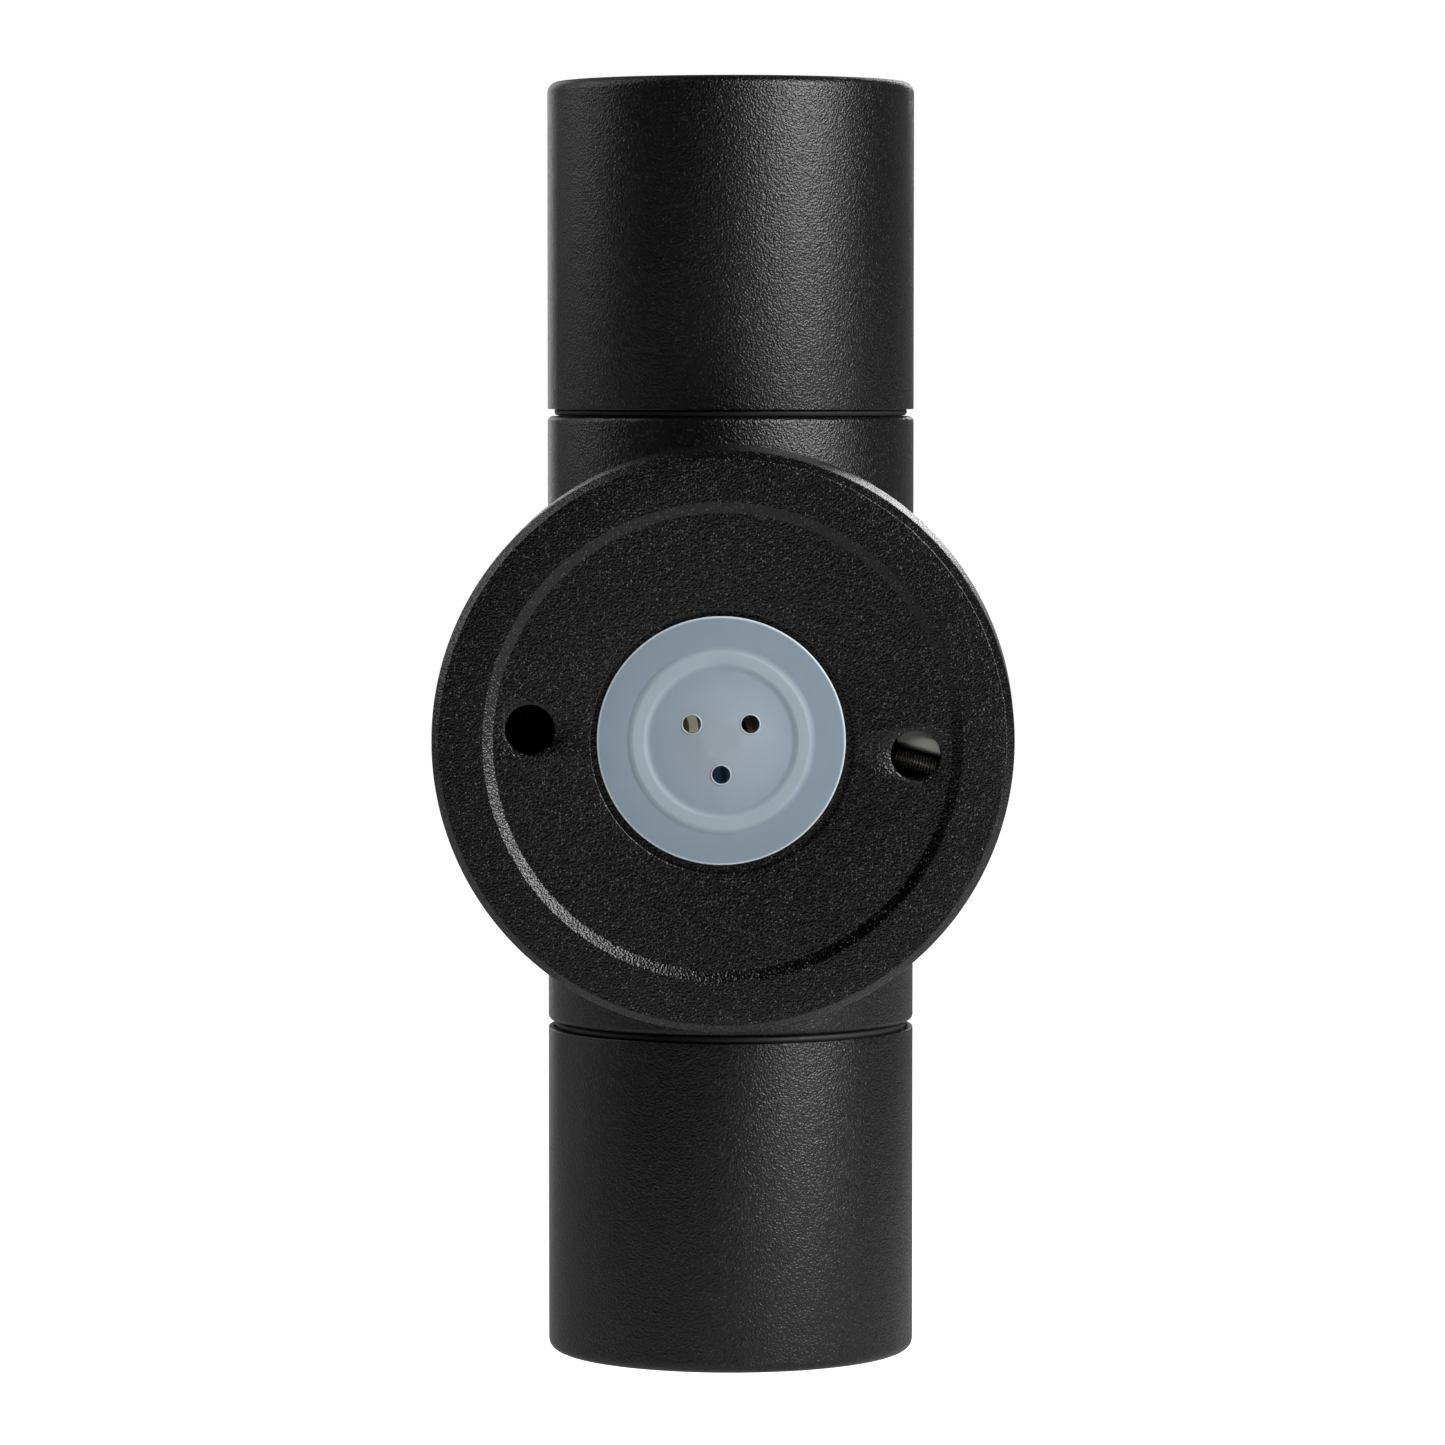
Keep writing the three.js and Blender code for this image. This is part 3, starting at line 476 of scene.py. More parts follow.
def frosted_lens():
    """Prismatic lamp front: clear plastic with moulded beads."""
    lens = Material("frosted_lens", (0.86, 0.87, 0.84), 0.16)
    lens.set("Transmission Weight", 0.35)
    lens.set("IOR", 1.49)
    lens.bump(lens.cells(1.6, 0.3), 0.25)
    lens.drive("Roughness", lens.mapped(lens.noise(1.2), 0.3, 0.7, 0.1, 0.24))
    return lens.material


# The glint arguments set the spacing and tone of each coat's painted glints.
COLUMN_COAT = powder_coat("black_coat_column", 0.001, grain=0.35, relief=0.155, roughness=0.35,
                          glint_spacing=0.45, glint_tone=0.06, gloss=0.47)
PLATE_COAT = powder_coat("black_coat_plate", 0.0008, grain=0.36, relief=0.16, roughness=0.25,
                         glint_spacing=0.36, glint_tone=0.15, gloss=0.43)
SILICONE = milky_silicone()
SILICONE_LIP = moulded("silicone_lip", (0.42, 0.47, 0.50), 0.35, grain=0.4, tint=0.9)
RUBBER = moulded("seal_rubber", (0.022, 0.022, 0.023), 0.6, grain=0.25)
ZINC = plated_steel("zinc_plate")
THREAD_STEEL = burnished_thread()
# Near-black colour for the lock screw's thread roots: painted shade.
ROOT_SHADE_PAINT = moulded("thread_root_painted_shade", (0.012, 0.009, 0.006), 0.4, grain=0.2)
ZINC_STRIP = plated_steel("zinc_strip", (0.66, 0.65, 0.61), 0.46)
BRASS = plated_steel("brass", (0.70, 0.47, 0.17), 0.3)
CERAMIC = moulded("ceramic", (0.78, 0.75, 0.68), 0.55, grain=0.5, relief=0.015, tint=0.9)
LAMP_SHELL = moulded("lamp_shell", (0.72, 0.72, 0.70), 0.38, tint=0.93)
BLOCK_PLASTIC = moulded("block_plastic", (0.74, 0.71, 0.63), 0.4, tint=0.9)
GLASS = clear_glass()
LENS = frosted_lens()
# Each wire's last argument is the strength of its painted glow.
LIVE_COAT = insulation("brown_insulation", (0.14, 0.09, 0.075), painted_glow=0.9)
NEUTRAL_COAT = insulation("blue_insulation", (0.025, 0.07, 0.14), painted_glow=0.3)
EARTH_COAT = insulation("green_yellow_insulation", (0.35, 0.36, 0.265), painted_glow=0.6)


def finish(piece, material, *nodes, body, slot=None):
    """Gives a new piece its finish, body and the CAD nodes that it stands for."""
    piece.data.materials.clear()
    piece.data.materials.append(material)
    if nodes:
        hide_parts(*nodes)
    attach(piece, body)


# ------------------------------------------------------------------ wall plate and grommet

# Depths are from the wall plane towards the room.
WALL_HOLE_R = 4.0
WALL_HOLE_AT = 31.2
WALL_HOLE_TILT = math.radians(3.7)
WALL_HOLE_BREAK = 0.3  # the holes' broken edge
RECESS = 0.85  # depth of the plate's face inside its proud outer ring
STEP_INNER_R, STEP_OUTER_R = 37.05, 38.75  # the slope between the two
PLATE_BEVEL, PLATE_BEVEL_DEPTH = 1.3, 1.9
PLATE_INNER = 4.5  # depth of the plate's room side
ENTRY_R = 18.0
ENTRY_SEAT_R = 21.3
ENTRY_SEAT_DEPTH = 2.35
SPIGOT_R = 44.2  # the spigot that goes into the canopy
SPIGOT_WALL = 3.0
SPIGOT_END = 8.0
SEAL_GROOVE, SEAL_GROOVE_END, SEAL_GROOVE_DEPTH = 4.2, 6.4, 1.2
WIRE_TURNS = (30, 150, 270)  # degrees round the grommet
WIRE_AT = 5.45
WIRE_HOLE_R = 1.5
# Along the lock screw's axis, from its joint's point.
LOCK = joint_of("lock_screw_turn")
LOCK_TIP = -4.8
LOCK_SOCKET_END = 15.2


def lock_frame():
    """The lock screw's own frame: Z along its axis, outwards, from the joint's point."""
    outward = Vector(LOCK["axis"]).normalized()
    turn = outward.to_track_quat("Z", "Y").to_matrix().to_4x4()
    return Matrix.Translation(LOCK["pos_m"]) @ turn @ Matrix.Scale(MM, 4)


def block(name, low, high, place):
    """A rectangular bar between two corners, for joining to a larger piece."""
    work = bmesh.new()
    bmesh.ops.create_cube(work, size=1)
    size = Vector(high) - Vector(low)
    middle = (Vector(high) + Vector(low)) / 2
    for vert in work.verts:
        vert.co = vert.co * size + middle
    return from_bmesh(name, work, place)


def wall_plate():
    """The coated disc: proud ring, sloped step, recessed face, cable entry, spigot and lug."""
    rim = CANOPY_REAR - 0.3
    spigot_bore = SPIGOT_R - SPIGOT_WALL
    groove_r = SPIGOT_R - SEAL_GROOVE_DEPTH
    plate = turned("wall_plate_fine", [
        (ENTRY_R, ENTRY_SEAT_DEPTH, 0.2),
        (ENTRY_SEAT_R, ENTRY_SEAT_DEPTH),
        (ENTRY_SEAT_R, RECESS, 0.22),
        (STEP_INNER_R, RECESS, 0.5),
        (STEP_OUTER_R, 0, 0.4),
        (PLATE_R - PLATE_BEVEL, 0, 0.25),
        (PLATE_R, PLATE_BEVEL_DEPTH, 0.5),
        (PLATE_R, rim, 0.25),
        (SPIGOT_R, rim),
        (SPIGOT_R, SEAL_GROOVE, 0.15),
        (groove_r, SEAL_GROOVE),
        (groove_r, SEAL_GROOVE_END),
        (SPIGOT_R, SEAL_GROOVE_END, 0.15),
        (SPIGOT_R, SPIGOT_END, 0.4),
        (spigot_bore, SPIGOT_END, 0.4),
        (spigot_bore, PLATE_INNER, 0.8),
        (ENTRY_R, PLATE_INNER, 0.2),
    ], WALL_FRAME, FINE_ROUND)
    lug = block("lug", (-3.2, -9.6, LOCK_TIP - 3.5), (3.2, 0.4, LOCK_TIP - 0.3), lug_frame())
    boolean(plate, "UNION", [lug])
    boolean(plate, "DIFFERENCE", [wall_hole(turn) for turn in (0, math.pi)])
    finish(plate, PLATE_COAT, "wall_plate", body="wall_mount", slot="black_coat")


def lug_frame():
    """A frame on the lock screw's axis with Z along it and Y towards the room."""
    outward = Vector(LOCK["axis"]).normalized()
    to_room = Vector((0, -1, 0))
    across = to_room.cross(outward)
    turn = Matrix((across, to_room, outward)).transposed().to_4x4()
    return Matrix.Translation(LOCK["pos_m"]) @ turn @ Matrix.Scale(MM, 4)


def wall_hole(turn):
    """A cutter for one wall screw hole with a softly broken edge."""
    angle = WALL_HOLE_TILT + turn
    place = WALL_FRAME @ Matrix.Translation(
        (WALL_HOLE_AT * math.cos(angle), WALL_HOLE_AT * math.sin(angle), 0)
    )
    edge = WALL_HOLE_BREAK
    outline = [
        (0, RECESS - 1),
        (WALL_HOLE_R + edge, RECESS - 1),
        (WALL_HOLE_R + edge, RECESS),
        (WALL_HOLE_R + edge * 0.3, RECESS + edge * 0.3),
        (WALL_HOLE_R, RECESS + edge),
        (WALL_HOLE_R, PLATE_INNER + 1),
        (0, PLATE_INNER + 1),
    ]
    return turned("wall_hole", outline, place, SMALL_ROUND)


def cable_grommet():
    """The silicone entry seal: flange, raised ring, low dome and three wire holes."""
    rear = RECESS + 0.25
    body_r = GROMMET_R - 2.7
    ring = 0.24
    tip_r, dome_tip, dome_r = 3.2, 0.05, 11.6
    place = WALL_FRAME @ Matrix.Translation((GROMMET_X, GROMMET_Z, 0))
    seal = turned("cable_grommet_fine", [
        (0, 0.02),
        (tip_r, dome_tip, 8),
        (dome_r, rear, 2.0),
        (12.5, rear - ring, 1.2),
        (14.2, rear - ring, 1.2),
        (15.2, rear, 1.5),
        (GROMMET_R, rear, 0.2),
        (GROMMET_R, ENTRY_SEAT_DEPTH - 0.1, 0.15),
        (body_r, ENTRY_SEAT_DEPTH - 0.1),
        (body_r, PLATE_INNER + 0.1),
        (body_r + 1.4, PLATE_INNER + 0.1, 0.2),
        (body_r, PLATE_INNER + 1.6, 0.3),
        (body_r - 2, PLATE_INNER + 1.6, 0.3),
        (body_r - 2, rear + 1.6, 1.0),
        (0, rear + 1.6),
    ], place, FINE_ROUND)
    holes = []
    for degrees in WIRE_TURNS:
        angle = math.radians(degrees)
        at = Matrix.Translation((WIRE_AT * math.cos(angle), WIRE_AT * math.sin(angle), 0))
        holes.append(cylinder("wire_hole", WIRE_HOLE_R, -1, PLATE_INNER, place @ at, 48))
    boolean(seal, "DIFFERENCE", holes)
    finish(seal, SILICONE, "cable_grommet", body="wall_mount", slot="silicone")
    slope = (rear - dome_tip) / (dome_r - tip_r)
    tilt = Matrix.Rotation(-math.atan(slope), 4, "Y")
    at = Matrix.Translation((WIRE_AT, 0, dome_tip + (WIRE_AT - tip_r) * slope))
    for i, degrees in enumerate(WIRE_TURNS):
        turn = Matrix.Rotation(math.radians(degrees), 4, "Z")
        wire_lip(i + 1, place @ turn @ at @ tilt)


def wire_lip(number, place):
    """The thin pale lip moulded round one wire hole, tilted with the low dome that it sits on."""
    lip = turned(f"grommet_lip_{number}", circle(WIRE_HOLE_R + 0.08, 0, 0.11, 8), place, 48)
    finish(lip, SILICONE_LIP, body="wall_mount", slot="silicone")


# ------------------------------------------------------------------ canopy, neck and column

NIPPLE_BORE_R = 5.2
CANOPY_BORE_R = 45.0
CANOPY_WALL = 2.5  # thickness of its closed front
CANOPY_BEVEL = 1.3
LOCK_BOSS = (3.2, 9, 14.2)  # radius, and its two ends along the lock screw's axis
LOCK_BORE = (1.6, 8, 20)
EARTH_BOSS_R, EARTH_BORE_R, EARTH_BOSS_HEIGHT = 4.0, 1.9, 3.0
NECK_R = 17.0
NECK_BORE_R = 5.4
NECK_FRONT = 56.0
TUBE_BORE_R = 28.5
TUBE_END_BORE_R = 27.0
THREAD_R = 29.3  # the cap thread on the tube's ends
THREAD_PITCH = 2.0
THREAD_DEPTH = 0.55
THREAD_RELIEF_R = THREAD_R - 0.4
CAP_BORE_R = 28.7
CAP_SKIRT_WALL = 0.9
CAP_LIP_R, CAP_LIP_DEPTH = 26.5, 2.5
RING_GROOVE_R = 29.5
GASKET_BORE_R = 26.5


def canopy():
    """The round shell behind the plate, with the bosses of its two screws."""
    inner = CANOPY_FRONT - CANOPY_WALL
    shell = turned("canopy_fine", [
        (NIPPLE_BORE_R, inner),
        (CANOPY_BORE_R, inner, 1.0),
        (CANOPY_BORE_R, CANOPY_REAR),
        (PLATE_R + 0.05, CANOPY_REAR, 0.3),
        (CANOPY_R, CANOPY_FRONT - CANOPY_BEVEL, 0.6),
        (CANOPY_R - CANOPY_BEVEL, CANOPY_FRONT, 0.6),
        (NIPPLE_BORE_R, CANOPY_FRONT),
    ], WALL_FRAME, FINE_ROUND)
    lock = lock_frame()
    boolean(shell, "UNION", [
        cylinder("lock_boss", *LOCK_BOSS, lock),
        earth_boss(inner),
    ])
    boolean(shell, "DIFFERENCE", [cylinder("lock_bore", *LOCK_BORE, lock)])
    finish(shell, PLATE_COAT, "canopy", body="lamp_body", slot="black_coat")


def earth_boss(inner):
    """The hollow boss under the earth screw, on the canopy's inner face."""
    low, high = corners_mm("earth_screw")
    x, z = (low.x + high.x) / 2, (low.z + high.z) / 2
    place = WALL_FRAME @ Matrix.Translation((x, z, 0))
    top = inner - EARTH_BOSS_HEIGHT
    return turned("earth_boss", [
        (EARTH_BORE_R, top, 0.2),
        (EARTH_BOSS_R, top, 0.3),
        (EARTH_BOSS_R, inner + 1),
        (EARTH_BORE_R, inner + 1),
    ], place, SMALL_ROUND)


def neck():
    """The short collar between the canopy and the column, saddled to the column."""
    collar = turned("neck_fine", [
        (NECK_BORE_R, NECK_REAR),
        (NECK_R + 1, NECK_REAR, 0.3),
        (NECK_R + 1, NECK_REAR + 1.6, 0.4),
        (NECK_R, NECK_REAR + 2.8, 0.8),
        (NECK_R, NECK_FRONT),
        (NECK_BORE_R, NECK_FRONT),
    ], WALL_FRAME)
    boolean(collar, "DIFFERENCE", [
        cylinder("saddle", COLUMN_R + 0.25, -40, 40, COLUMN_FRAME, FINE_ROUND),
    ])
    finish(collar, COLUMN_COAT, "neck", body="lamp_body", slot="black_coat")


def helix(name, r, depth, pitch, z0, z1, place, per_turn, half):
    """A screw thread's ridge: a blunt triangle swept along a helix, fading at both ends.

    half is how far the triangle's foot reaches to each side, as a share of the pitch.
    """
    turns = (z1 - z0) / pitch
    steps = int(turns * per_turn)
    foot_r = r - depth - 0.1
    foot, flat = half * pitch, 0.06 * pitch
    work = bmesh.new()
    sections = []
    for i in range(steps + 1):
        angle = 2 * math.pi * i / per_turn
        z = z0 + pitch * i / per_turn
        fade = min(1.0, 4 * i / per_turn, 4 * (steps - i) / per_turn)
        crest = r - depth + depth * max(fade, 0.05)
        shape = [(foot_r, z - foot), (crest, z - flat), (crest, z + flat), (foot_r, z + foot)]
        cos, sin = math.cos(angle), math.sin(angle)
        sections.append([work.verts.new((p * cos, p * sin, h)) for p, h in shape])
    for a, b in zip(sections, sections[1:]):
        for k in range(4):
            work.faces.new((a[k], b[k], b[(k + 1) % 4], a[(k + 1) % 4]))
    work.faces.new(sections[0])
    work.faces.new(reversed(sections[-1]))
    bmesh.ops.recalc_face_normals(work, faces=work.faces)
    piece = from_bmesh(name, work, place)
    finish_shading(piece, 30)
    return piece


def body_tube():
    """The middle of the column, threaded at both ends, and its two thread ridges."""
    shoulder = TUBE_END + 2
    end = TUBE_HIGH.z
    root = THREAD_R - THREAD_DEPTH
    outside = [
        (COLUMN_R, TUBE_END, 0.9),
        (THREAD_RELIEF_R, TUBE_END),
        (THREAD_RELIEF_R, shoulder),
        (root, shoulder),
        (root, end, 0.3),
    ]
    inside = [
        (TUBE_END_BORE_R, end),
        (TUBE_END_BORE_R, TUBE_END - 2),
        (TUBE_BORE_R, TUBE_END - 3.5),
    ]

    def mirrored(points):
        return [(r, -z, *rest) for r, z, *rest in reversed(points)]

    outline = mirrored(outside) + outside + inside + mirrored(inside)
    tube = turned("body_tube_fine", outline, COLUMN_FRAME, FINE_ROUND)
    bore = cylinder("nipple_bore", NIPPLE_BORE_R, 40, 60, WALL_FRAME)
    boolean(tube, "DIFFERENCE", [bore])
    finish(tube, COLUMN_COAT, "body_tube", body="lamp_body", slot="black_coat")
    for end_name, place in ENDS.items():
        thread = helix(f"{end_name}_tube_thread", THREAD_R, THREAD_DEPTH, THREAD_PITCH,
                       shoulder + 1.0, end - 1.0, place, per_turn=96, half=0.42)
        finish(thread, COLUMN_COAT, body="lamp_body", slot="black_coat")


def cap(end_name, place):
    """An end cap: rounded rim, lip over the glass, ring groove and threaded skirt."""
    ring_low, ring_high = corners_mm("upper_retaining_ring")
    play = 0.15
    skirt_r = COLUMN_R - CAP_SKIRT_WALL
    shell = turned(f"{end_name}_cap_fine", [
        (skirt_r, CAP_START),
        (COLUMN_R, CAP_START, 0.18),
        (COLUMN_R, TOP, 1.8),
        (CAP_LIP_R + 0.6, TOP, 0.2),
        (CAP_LIP_R, TOP - 0.7, 0.2),
        (CAP_LIP_R, TOP - CAP_LIP_DEPTH, 0.1),
        (CAP_BORE_R, TOP - CAP_LIP_DEPTH),
        (CAP_BORE_R, ring_high.z + play),
        (RING_GROOVE_R, ring_high.z + play),
        (RING_GROOVE_R, ring_low.z - play),
        (CAP_BORE_R, ring_low.z - play),
        (CAP_BORE_R, TUBE_HIGH.z + 1),
        (THREAD_R + play, TUBE_HIGH.z + 1),
        (THREAD_R + play, CAP_START + 1),
        (skirt_r, CAP_START + 1),
    ], place, FINE_ROUND)
    finish(shell, COLUMN_COAT, f"{end_name}_cap", body=f"{end_name}_cap", slot="black_coat")


def ring_seal(name, node, r, section, z, place, body):
    """A round-section rubber ring."""
    ring = turned(name, circle(r, z, section, 16), place)
    finish(ring, RUBBER, node, body=body, slot="black_rubber")


def glass_pack(end_name, place):
    """The flat glass of one end and the gasket under it."""
    low, high = corners_mm("upper_glass")
    body = f"{end_name}_glass_pack"
    r = high.x
    pane = turned(f"{end_name}_glass_fine", [
        (0, low.z),
        (r, low.z, 0.4),
        (r, high.z, 0.4),
        (0, high.z),
    ], place)
    finish(pane, GLASS, f"{end_name}_glass", body=body, slot="clear_glass")
    gasket_low, gasket_high = corners_mm("upper_glass_gasket")
    gasket = turned(f"{end_name}_glass_gasket_fine", [
        (GASKET_BORE_R, gasket_low.z, 0.25),
        (r, gasket_low.z, 0.25),
        (r, gasket_high.z, 0.25),
        (GASKET_BORE_R, gasket_high.z, 0.25),
    ], place)
    finish(gasket, SILICONE, f"{end_name}_glass_gasket", body=body, slot="silicone")


def lamp(end_name, place):
    """A twist-lock reflector lamp: straight base, flared ribbed shell and moulded front."""
    low, high = corners_mm("upper_lamp_shell")
    rear, front, r = low.z, high.z, high.x
    base_r, lens_r = 12.5, 23.3
    body = f"{end_name}_lamp"
    shell = turned(f"{end_name}_lamp_shell_fine", [
        (0, rear),
        (base_r, rear, 1.0),
        (base_r, rear + 10, 1.0),
        (14.5, rear + 13, 1.0),
        (24.2, front - 8.5, 2.0),
        (r, front - 6, 1.0),
        (r, front, 0.6),
        (lens_r + 0.3, front, 0.3),
        (lens_r + 0.3, front - 1.6),
        (0, front - 1.6),
    ], place)
    finish(shell, LAMP_SHELL, f"{end_name}_lamp_shell", body=body, slot="lamp_shell")
    fins(end_name, place, rear, front, body)
    lens = turned(f"{end_name}_lamp_lens_fine", [
        (0, front - 1.5),
        (lens_r, front - 1.5),
        (lens_r, front - 0.3, 0.3),
        (9, front - 0.3, 0.6),
        (7.5, front - 0.9, 0.6),
        (0, front - 0.9),
    ], place)
    finish(lens, LENS, f"{end_name}_lamp_lens", body=body, slot="lamp_lens")


def fins(end_name, place, rear, front, body):
    """Cooling ribs round the lamp's flared shell."""
    work = bmesh.new()
    count, half = 24, 0.45
    line = [
        (12.0, rear + 3),
        (13.3, rear + 4),
        (15.4, rear + 13),
        (24.4, front - 9.5),
        (23.0, front - 9),
    ]
    for i in range(count):
        turn = Matrix.Rotation(2 * math.pi * i / count, 4, "Z")
        sides = [
            [work.verts.new(turn @ Vector((r, side * half, z))) for r, z in line]
            for side in (-1, 1)
        ]
        work.faces.new(sides[0])
        work.faces.new(reversed(sides[1]))
        for k in range(len(line)):
            n = (k + 1) % len(line)
            work.faces.new((sides[0][k], sides[1][k], sides[1][n], sides[0][n]))
    bmesh.ops.recalc_face_normals(work, faces=work.faces)
    piece = from_bmesh(f"{end_name}_lamp_fins", work, place)
    finish_shading(piece)
    finish(piece, LAMP_SHELL, body=body, slot="lamp_shell")


# ------------------------------------------------------------------ lock screw


def lock_screw():
    """A headless M3 screw with a real thread, cone tip and hexagon socket."""
    place = lock_frame()
    r, pitch, depth = 1.5, 0.5, 0.28
    root = r - depth - 0.08
    socket_r, socket_depth = 0.87, 1.8
    shaft = turned("lock_screw_fine", [
        (0, LOCK_TIP),
        (0.6, LOCK_TIP, 0.1),
        (root, LOCK_TIP + 0.9, 0.2),
        (root, LOCK_SOCKET_END - 0.1, 0.1),
        (0, LOCK_SOCKET_END - 0.1),
    ], place, SMALL_ROUND)
    socket = turned("socket", [
        (0, LOCK_SOCKET_END - socket_depth),
        (socket_r, LOCK_SOCKET_END - socket_depth),
        (socket_r, LOCK_SOCKET_END + 1),
        (0, LOCK_SOCKET_END + 1),
    ], place, 6)
    boolean(shaft, "DIFFERENCE", [socket])
    # The shaft between the thread ridges is near-black: painted shade in the thread roots.
    finish(shaft, ROOT_SHADE_PAINT, "lock_screw", body="lock_screw", slot="zinc")
    thread = helix("lock_screw_thread", r, depth, pitch, LOCK_TIP + 1.1, LOCK_SOCKET_END - 0.4,
                   place, per_turn=32, half=0.3)
    finish(thread, THREAD_STEEL, body="lock_screw", slot="zinc")


# ------------------------------------------------------------------ pieces made from CAD nodes


def cad_copy(node, merge):
    """A copy of a CAD solid as a new piece, its corners welded and its faces merged."""
    piece = new_object(f"{node}_fine", frame["nodes"][node].data.copy())
    work = bmesh.new()
    work.from_mesh(piece.data)
    bmesh.ops.remove_doubles(work, verts=work.verts, dist=1e-6)
    merge(work)
    work.to_mesh(piece.data)
    work.free()
    return piece


def smooth_wire(node, material, slot):
    """A smooth copy of a coarse CAD wire, by subdivision."""
    def quads(work):
        bmesh.ops.join_triangles(work, faces=work.faces, angle_face_threshold=0.7,
                                 angle_shape_threshold=0.9)

    piece = cad_copy(node, quads)
    modifier = piece.modifiers.new("smooth", "SUBSURF")
    modifier.levels = 2
    applied(piece)
    finish_shading(piece, 60)
    finish(piece, material, node, body="lamp_body", slot=slot)


def repaint(node, material):
    """A CAD node that stays, with a finer finish."""
    mesh = frame["nodes"][node].data
    mesh.materials.clear()
    mesh.materials.append(material)


def lock_screw_bracket():
    """The bent strip beside the lock screw, with eased edges and a rolled hem along its arm."""
    def flats(work):
        bmesh.ops.dissolve_limit(work, angle_limit=math.radians(3), verts=work.verts,
                                 edges=work.edges)

    strip = cad_copy("lock_screw_bracket", flats)
    hem = Matrix.Translation((-2.45, 2.13, 0))
    boolean(strip, "UNION", [cylinder("hem", 0.62, -4, 6.2, lug_frame() @ hem)])
    modifier = strip.modifiers.new("bevel", "BEVEL")
    modifier.width = 0.12 * MM
    modifier.segments = 2
    modifier.limit_method = "ANGLE"
    modifier.angle_limit = math.radians(50)
    applied(strip)
    finish_shading(strip)
    finish(strip, ZINC_STRIP, "lock_screw_bracket", body="lamp_body", slot="zinc")


def keep_cad_parts():
    """Gives every CAD node that stays the finish of its material slot."""
    finishes = {
        "zinc": ZINC,
        "brass": BRASS,
        "ceramic": CERAMIC,
        "block_plastic": BLOCK_PLASTIC,
        "black_rubber": RUBBER,
        "silicone": SILICONE,
    }
    for part in frame["record"]["subparts"]:
        if part["material_slot"] in finishes:
            repaint(part["node"], finishes[part["material_slot"]])


def build():
    keep_cad_parts()
    wall_plate()
    cable_grommet()
    canopy()
    neck()
    body_tube()
    seal_low, seal_high = corners_mm("canopy_seal")
    seal_depth = -(seal_low.y + seal_high.y) / 2
    ring_seal("canopy_seal_fine", "canopy_seal", SPIGOT_R - 0.35, 0.75, seal_depth,
              WALL_FRAME, "wall_mount")
    for end_name, place in ENDS.items():
        cap(end_name, place)
        ring_seal(f"{end_name}_cap_seal_fine", f"{end_name}_cap_seal", THREAD_R + 0.4, 0.65,
                  TUBE_END + 0.75, place, "lamp_body")
        glass_pack(end_name, place)
        lamp(end_name, place)
        smooth_wire(f"{end_name}_live_wire", LIVE_COAT, "brown_wire")
        smooth_wire(f"{end_name}_neutral_wire", NEUTRAL_COAT, "blue_wire")
    smooth_wire("earth_wire", EARTH_COAT, "green_yellow_wire")
    lock_screw()
    lock_screw_bracket()


# ------------------------------------------------------------------ studio

# Lengths from here on are metres, and powers watts.
CAMERA_AT = (-0.0195, 1.0327, 0.0605)
CAMERA_AIM = (0, 0, 0.0033)
FLOOR_SIZE = 3.0
FLOOR_GAP = 0.06


def floor():
    """A plain white floor a little below the light."""
    size, z = FLOOR_SIZE, CAD_BOX[0][2] - FLOOR_GAP
    mesh = bpy.data.meshes.new("floor")
    corners = [(-size, -size, z), (size, -size, z), (size, size, z), (-size, size, z)]
    mesh.from_pydata(corners, [], [(0, 1, 2, 3)])
    piece = new_object("floor", mesh)
    white = Material("floor_white", (0.62, 0.62, 0.62), 0.8)
    white.set("Emission Color", (1, 1, 1, 1))
    rays = white.nodes.new("ShaderNodeLightPath")
    white.drive("Emission Strength", rays.outputs["Is Camera Ray"])
    piece.data.materials.append(white.material)


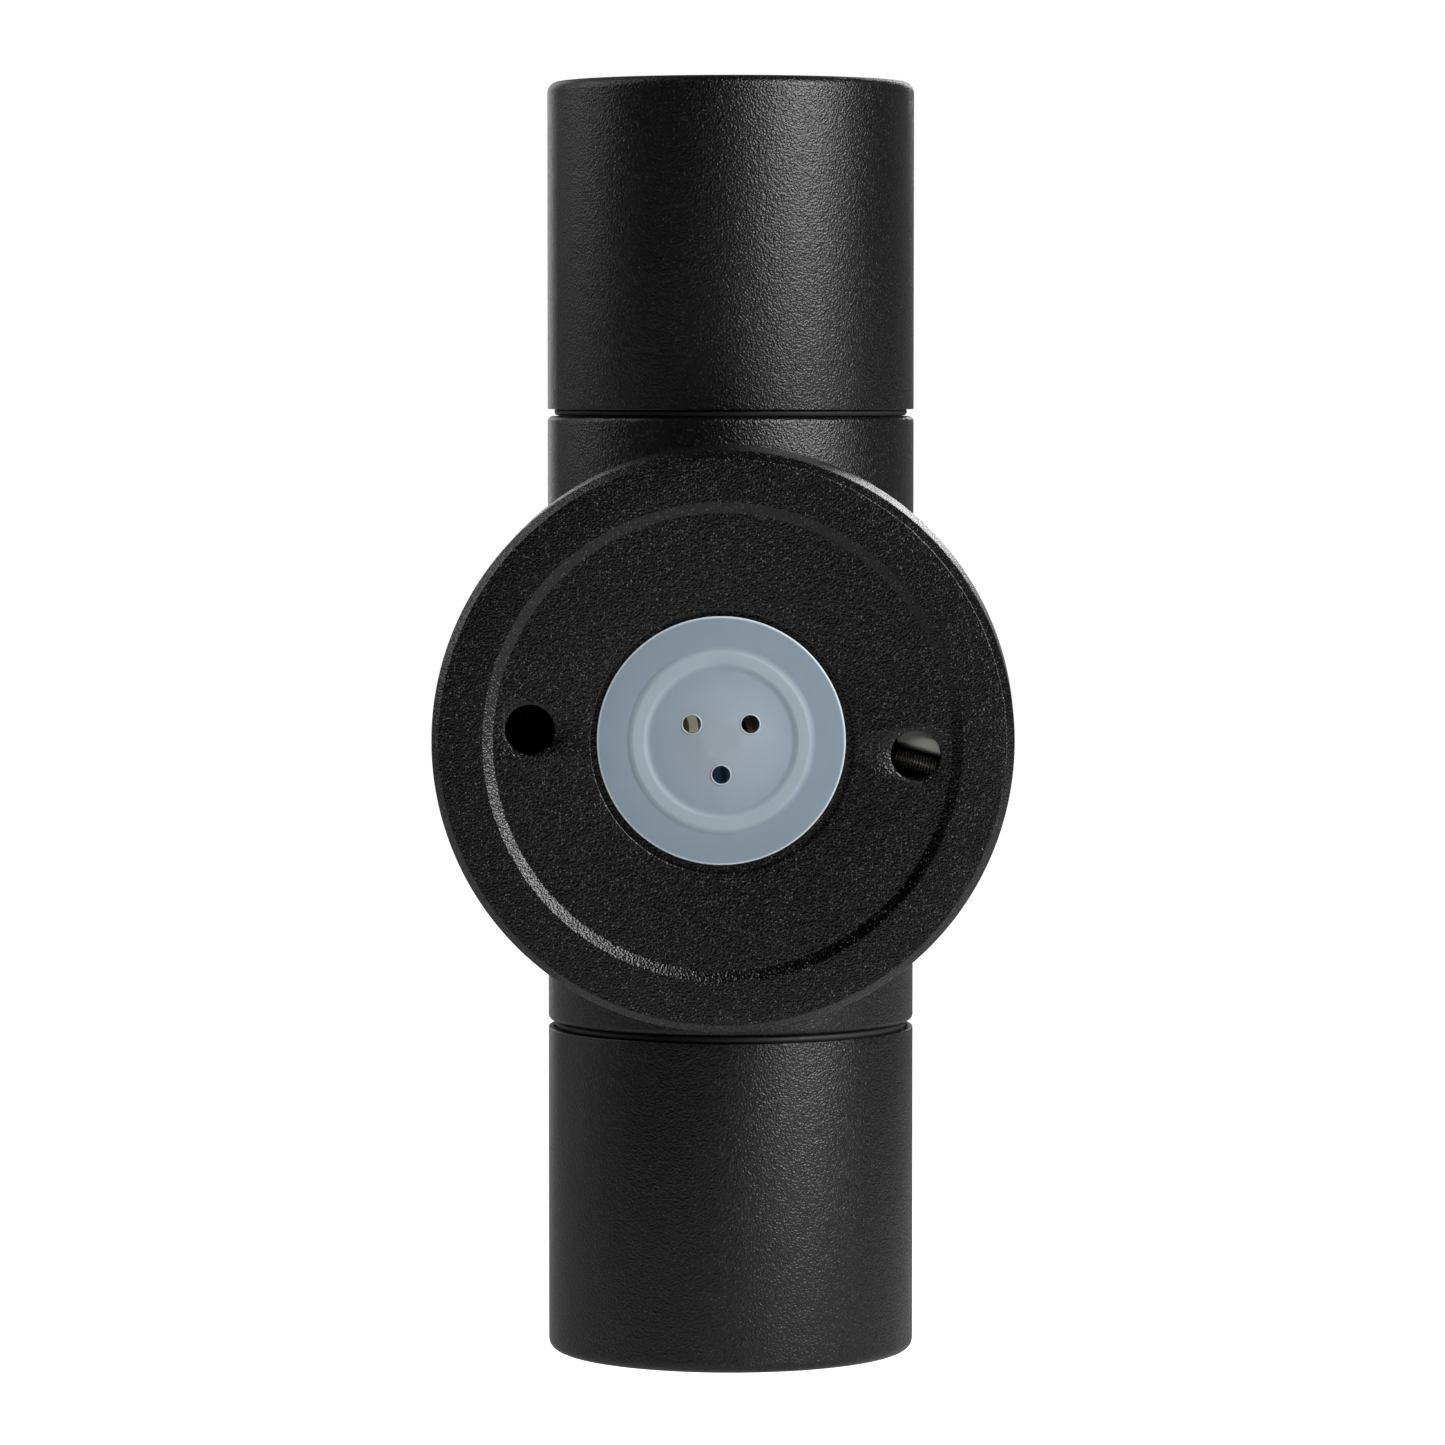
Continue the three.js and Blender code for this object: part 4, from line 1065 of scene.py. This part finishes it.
def world():
    """White behind the light as the camera sees it, and a dim room on the camera's side."""
    sky = bpy.data.worlds.new("studio")
    sky.use_nodes = True
    nodes, links = sky.node_tree.nodes, sky.node_tree.links
    background = nodes["Background"]
    coords = nodes.new("ShaderNodeTexCoord")
    axes = nodes.new("ShaderNodeSeparateXYZ")
    fade = nodes.new("ShaderNodeMapRange")
    limits = {"From Min": -1.0, "From Max": -0.1, "To Min": 0.6, "To Max": 0.07}
    for socket, value in limits.items():
        fade.inputs[socket].default_value = value
    square = nodes.new("ShaderNodeMath")
    square.operation = "POWER"
    square.inputs[1].default_value = 2
    rays = nodes.new("ShaderNodeLightPath")
    strength = nodes.new("ShaderNodeMix")
    links.new(coords.outputs["Generated"], axes.inputs["Vector"])
    links.new(axes.outputs["Y"], fade.inputs["Value"])
    links.new(fade.outputs["Result"], square.inputs[0])
    links.new(rays.outputs["Is Camera Ray"], strength.inputs["Factor"])
    links.new(square.outputs["Value"], strength.inputs["A"])
    strength.inputs["B"].default_value = 1.0
    links.new(strength.outputs["Result"], background.inputs["Strength"])
    background.inputs["Color"].default_value = (1, 1, 1, 1)
    bpy.context.scene.world = sky


def aimed(name, data, place, target):
    """A light or camera at a place, pointing at a target."""
    thing = new_object(name, data)
    thing.location = place
    thing.rotation_euler = (Vector(target) - Vector(place)).to_track_quat("-Z", "Y").to_euler()
    return thing


def softbox(name, angle, distance, lift, size, power):
    """A soft light aimed at the light's middle; its angle is from the camera, to its right."""
    data = bpy.data.lights.new(name, "AREA")
    data.shape = "RECTANGLE"
    data.size, data.size_y = size
    data.energy = power
    turn = math.radians(angle)
    place = (-math.sin(turn) * distance, math.cos(turn) * distance, lift)
    aimed(name, data, place, (0, COLUMN_Y * MM / 2, 0))


def pencil(name, target, radius, offset, power):
    """A narrow soft-edged light from near the camera that reaches into a hole in the plate."""
    reach = 0.45
    toward = (Vector(CAMERA_AT) - Vector(target)).normalized() + Vector(offset)
    data = bpy.data.lights.new(name, "SPOT")
    data.energy = power
    data.shadow_soft_size = 0.003
    data.spot_blend = 0.6
    data.spot_size = 2 * math.atan(radius / reach)
    spot = aimed(name, data, Vector(target) + toward.normalized() * reach, target)
    spot.visible_camera = False


def camera():
    """A long lens square on the wall side, from slightly above."""
    data = bpy.data.cameras.new("camera")
    data.sensor_width = 36
    data.lens = 160
    data.clip_start = 0.01
    bpy.context.scene.camera = aimed("camera", data, CAMERA_AT, CAMERA_AIM)


def studio():
    floor()
    world()
    softbox("key", angle=51, distance=1.2, lift=0.7, size=(0.72, 1.0), power=31)
    softbox("fill", angle=-108, distance=1.1, lift=0.7, size=(0.4, 1.2), power=4.6)
    softbox("rim_right", angle=166, distance=1.4, lift=0.5, size=(0.2, 0.6), power=2)
    softbox("rim_left", angle=-162, distance=1.35, lift=0.1, size=(0.2, 0.9), power=1.4)
    lock_hole = (-WALL_HOLE_AT * MM, 0, -2 * MM)
    pencil("lock_light", lock_hole, radius=0.0033, offset=(0.08, 0, 0.1), power=1.6)
    camera()
    bpy.context.scene.view_settings.view_transform = "Standard"


build()
studio()
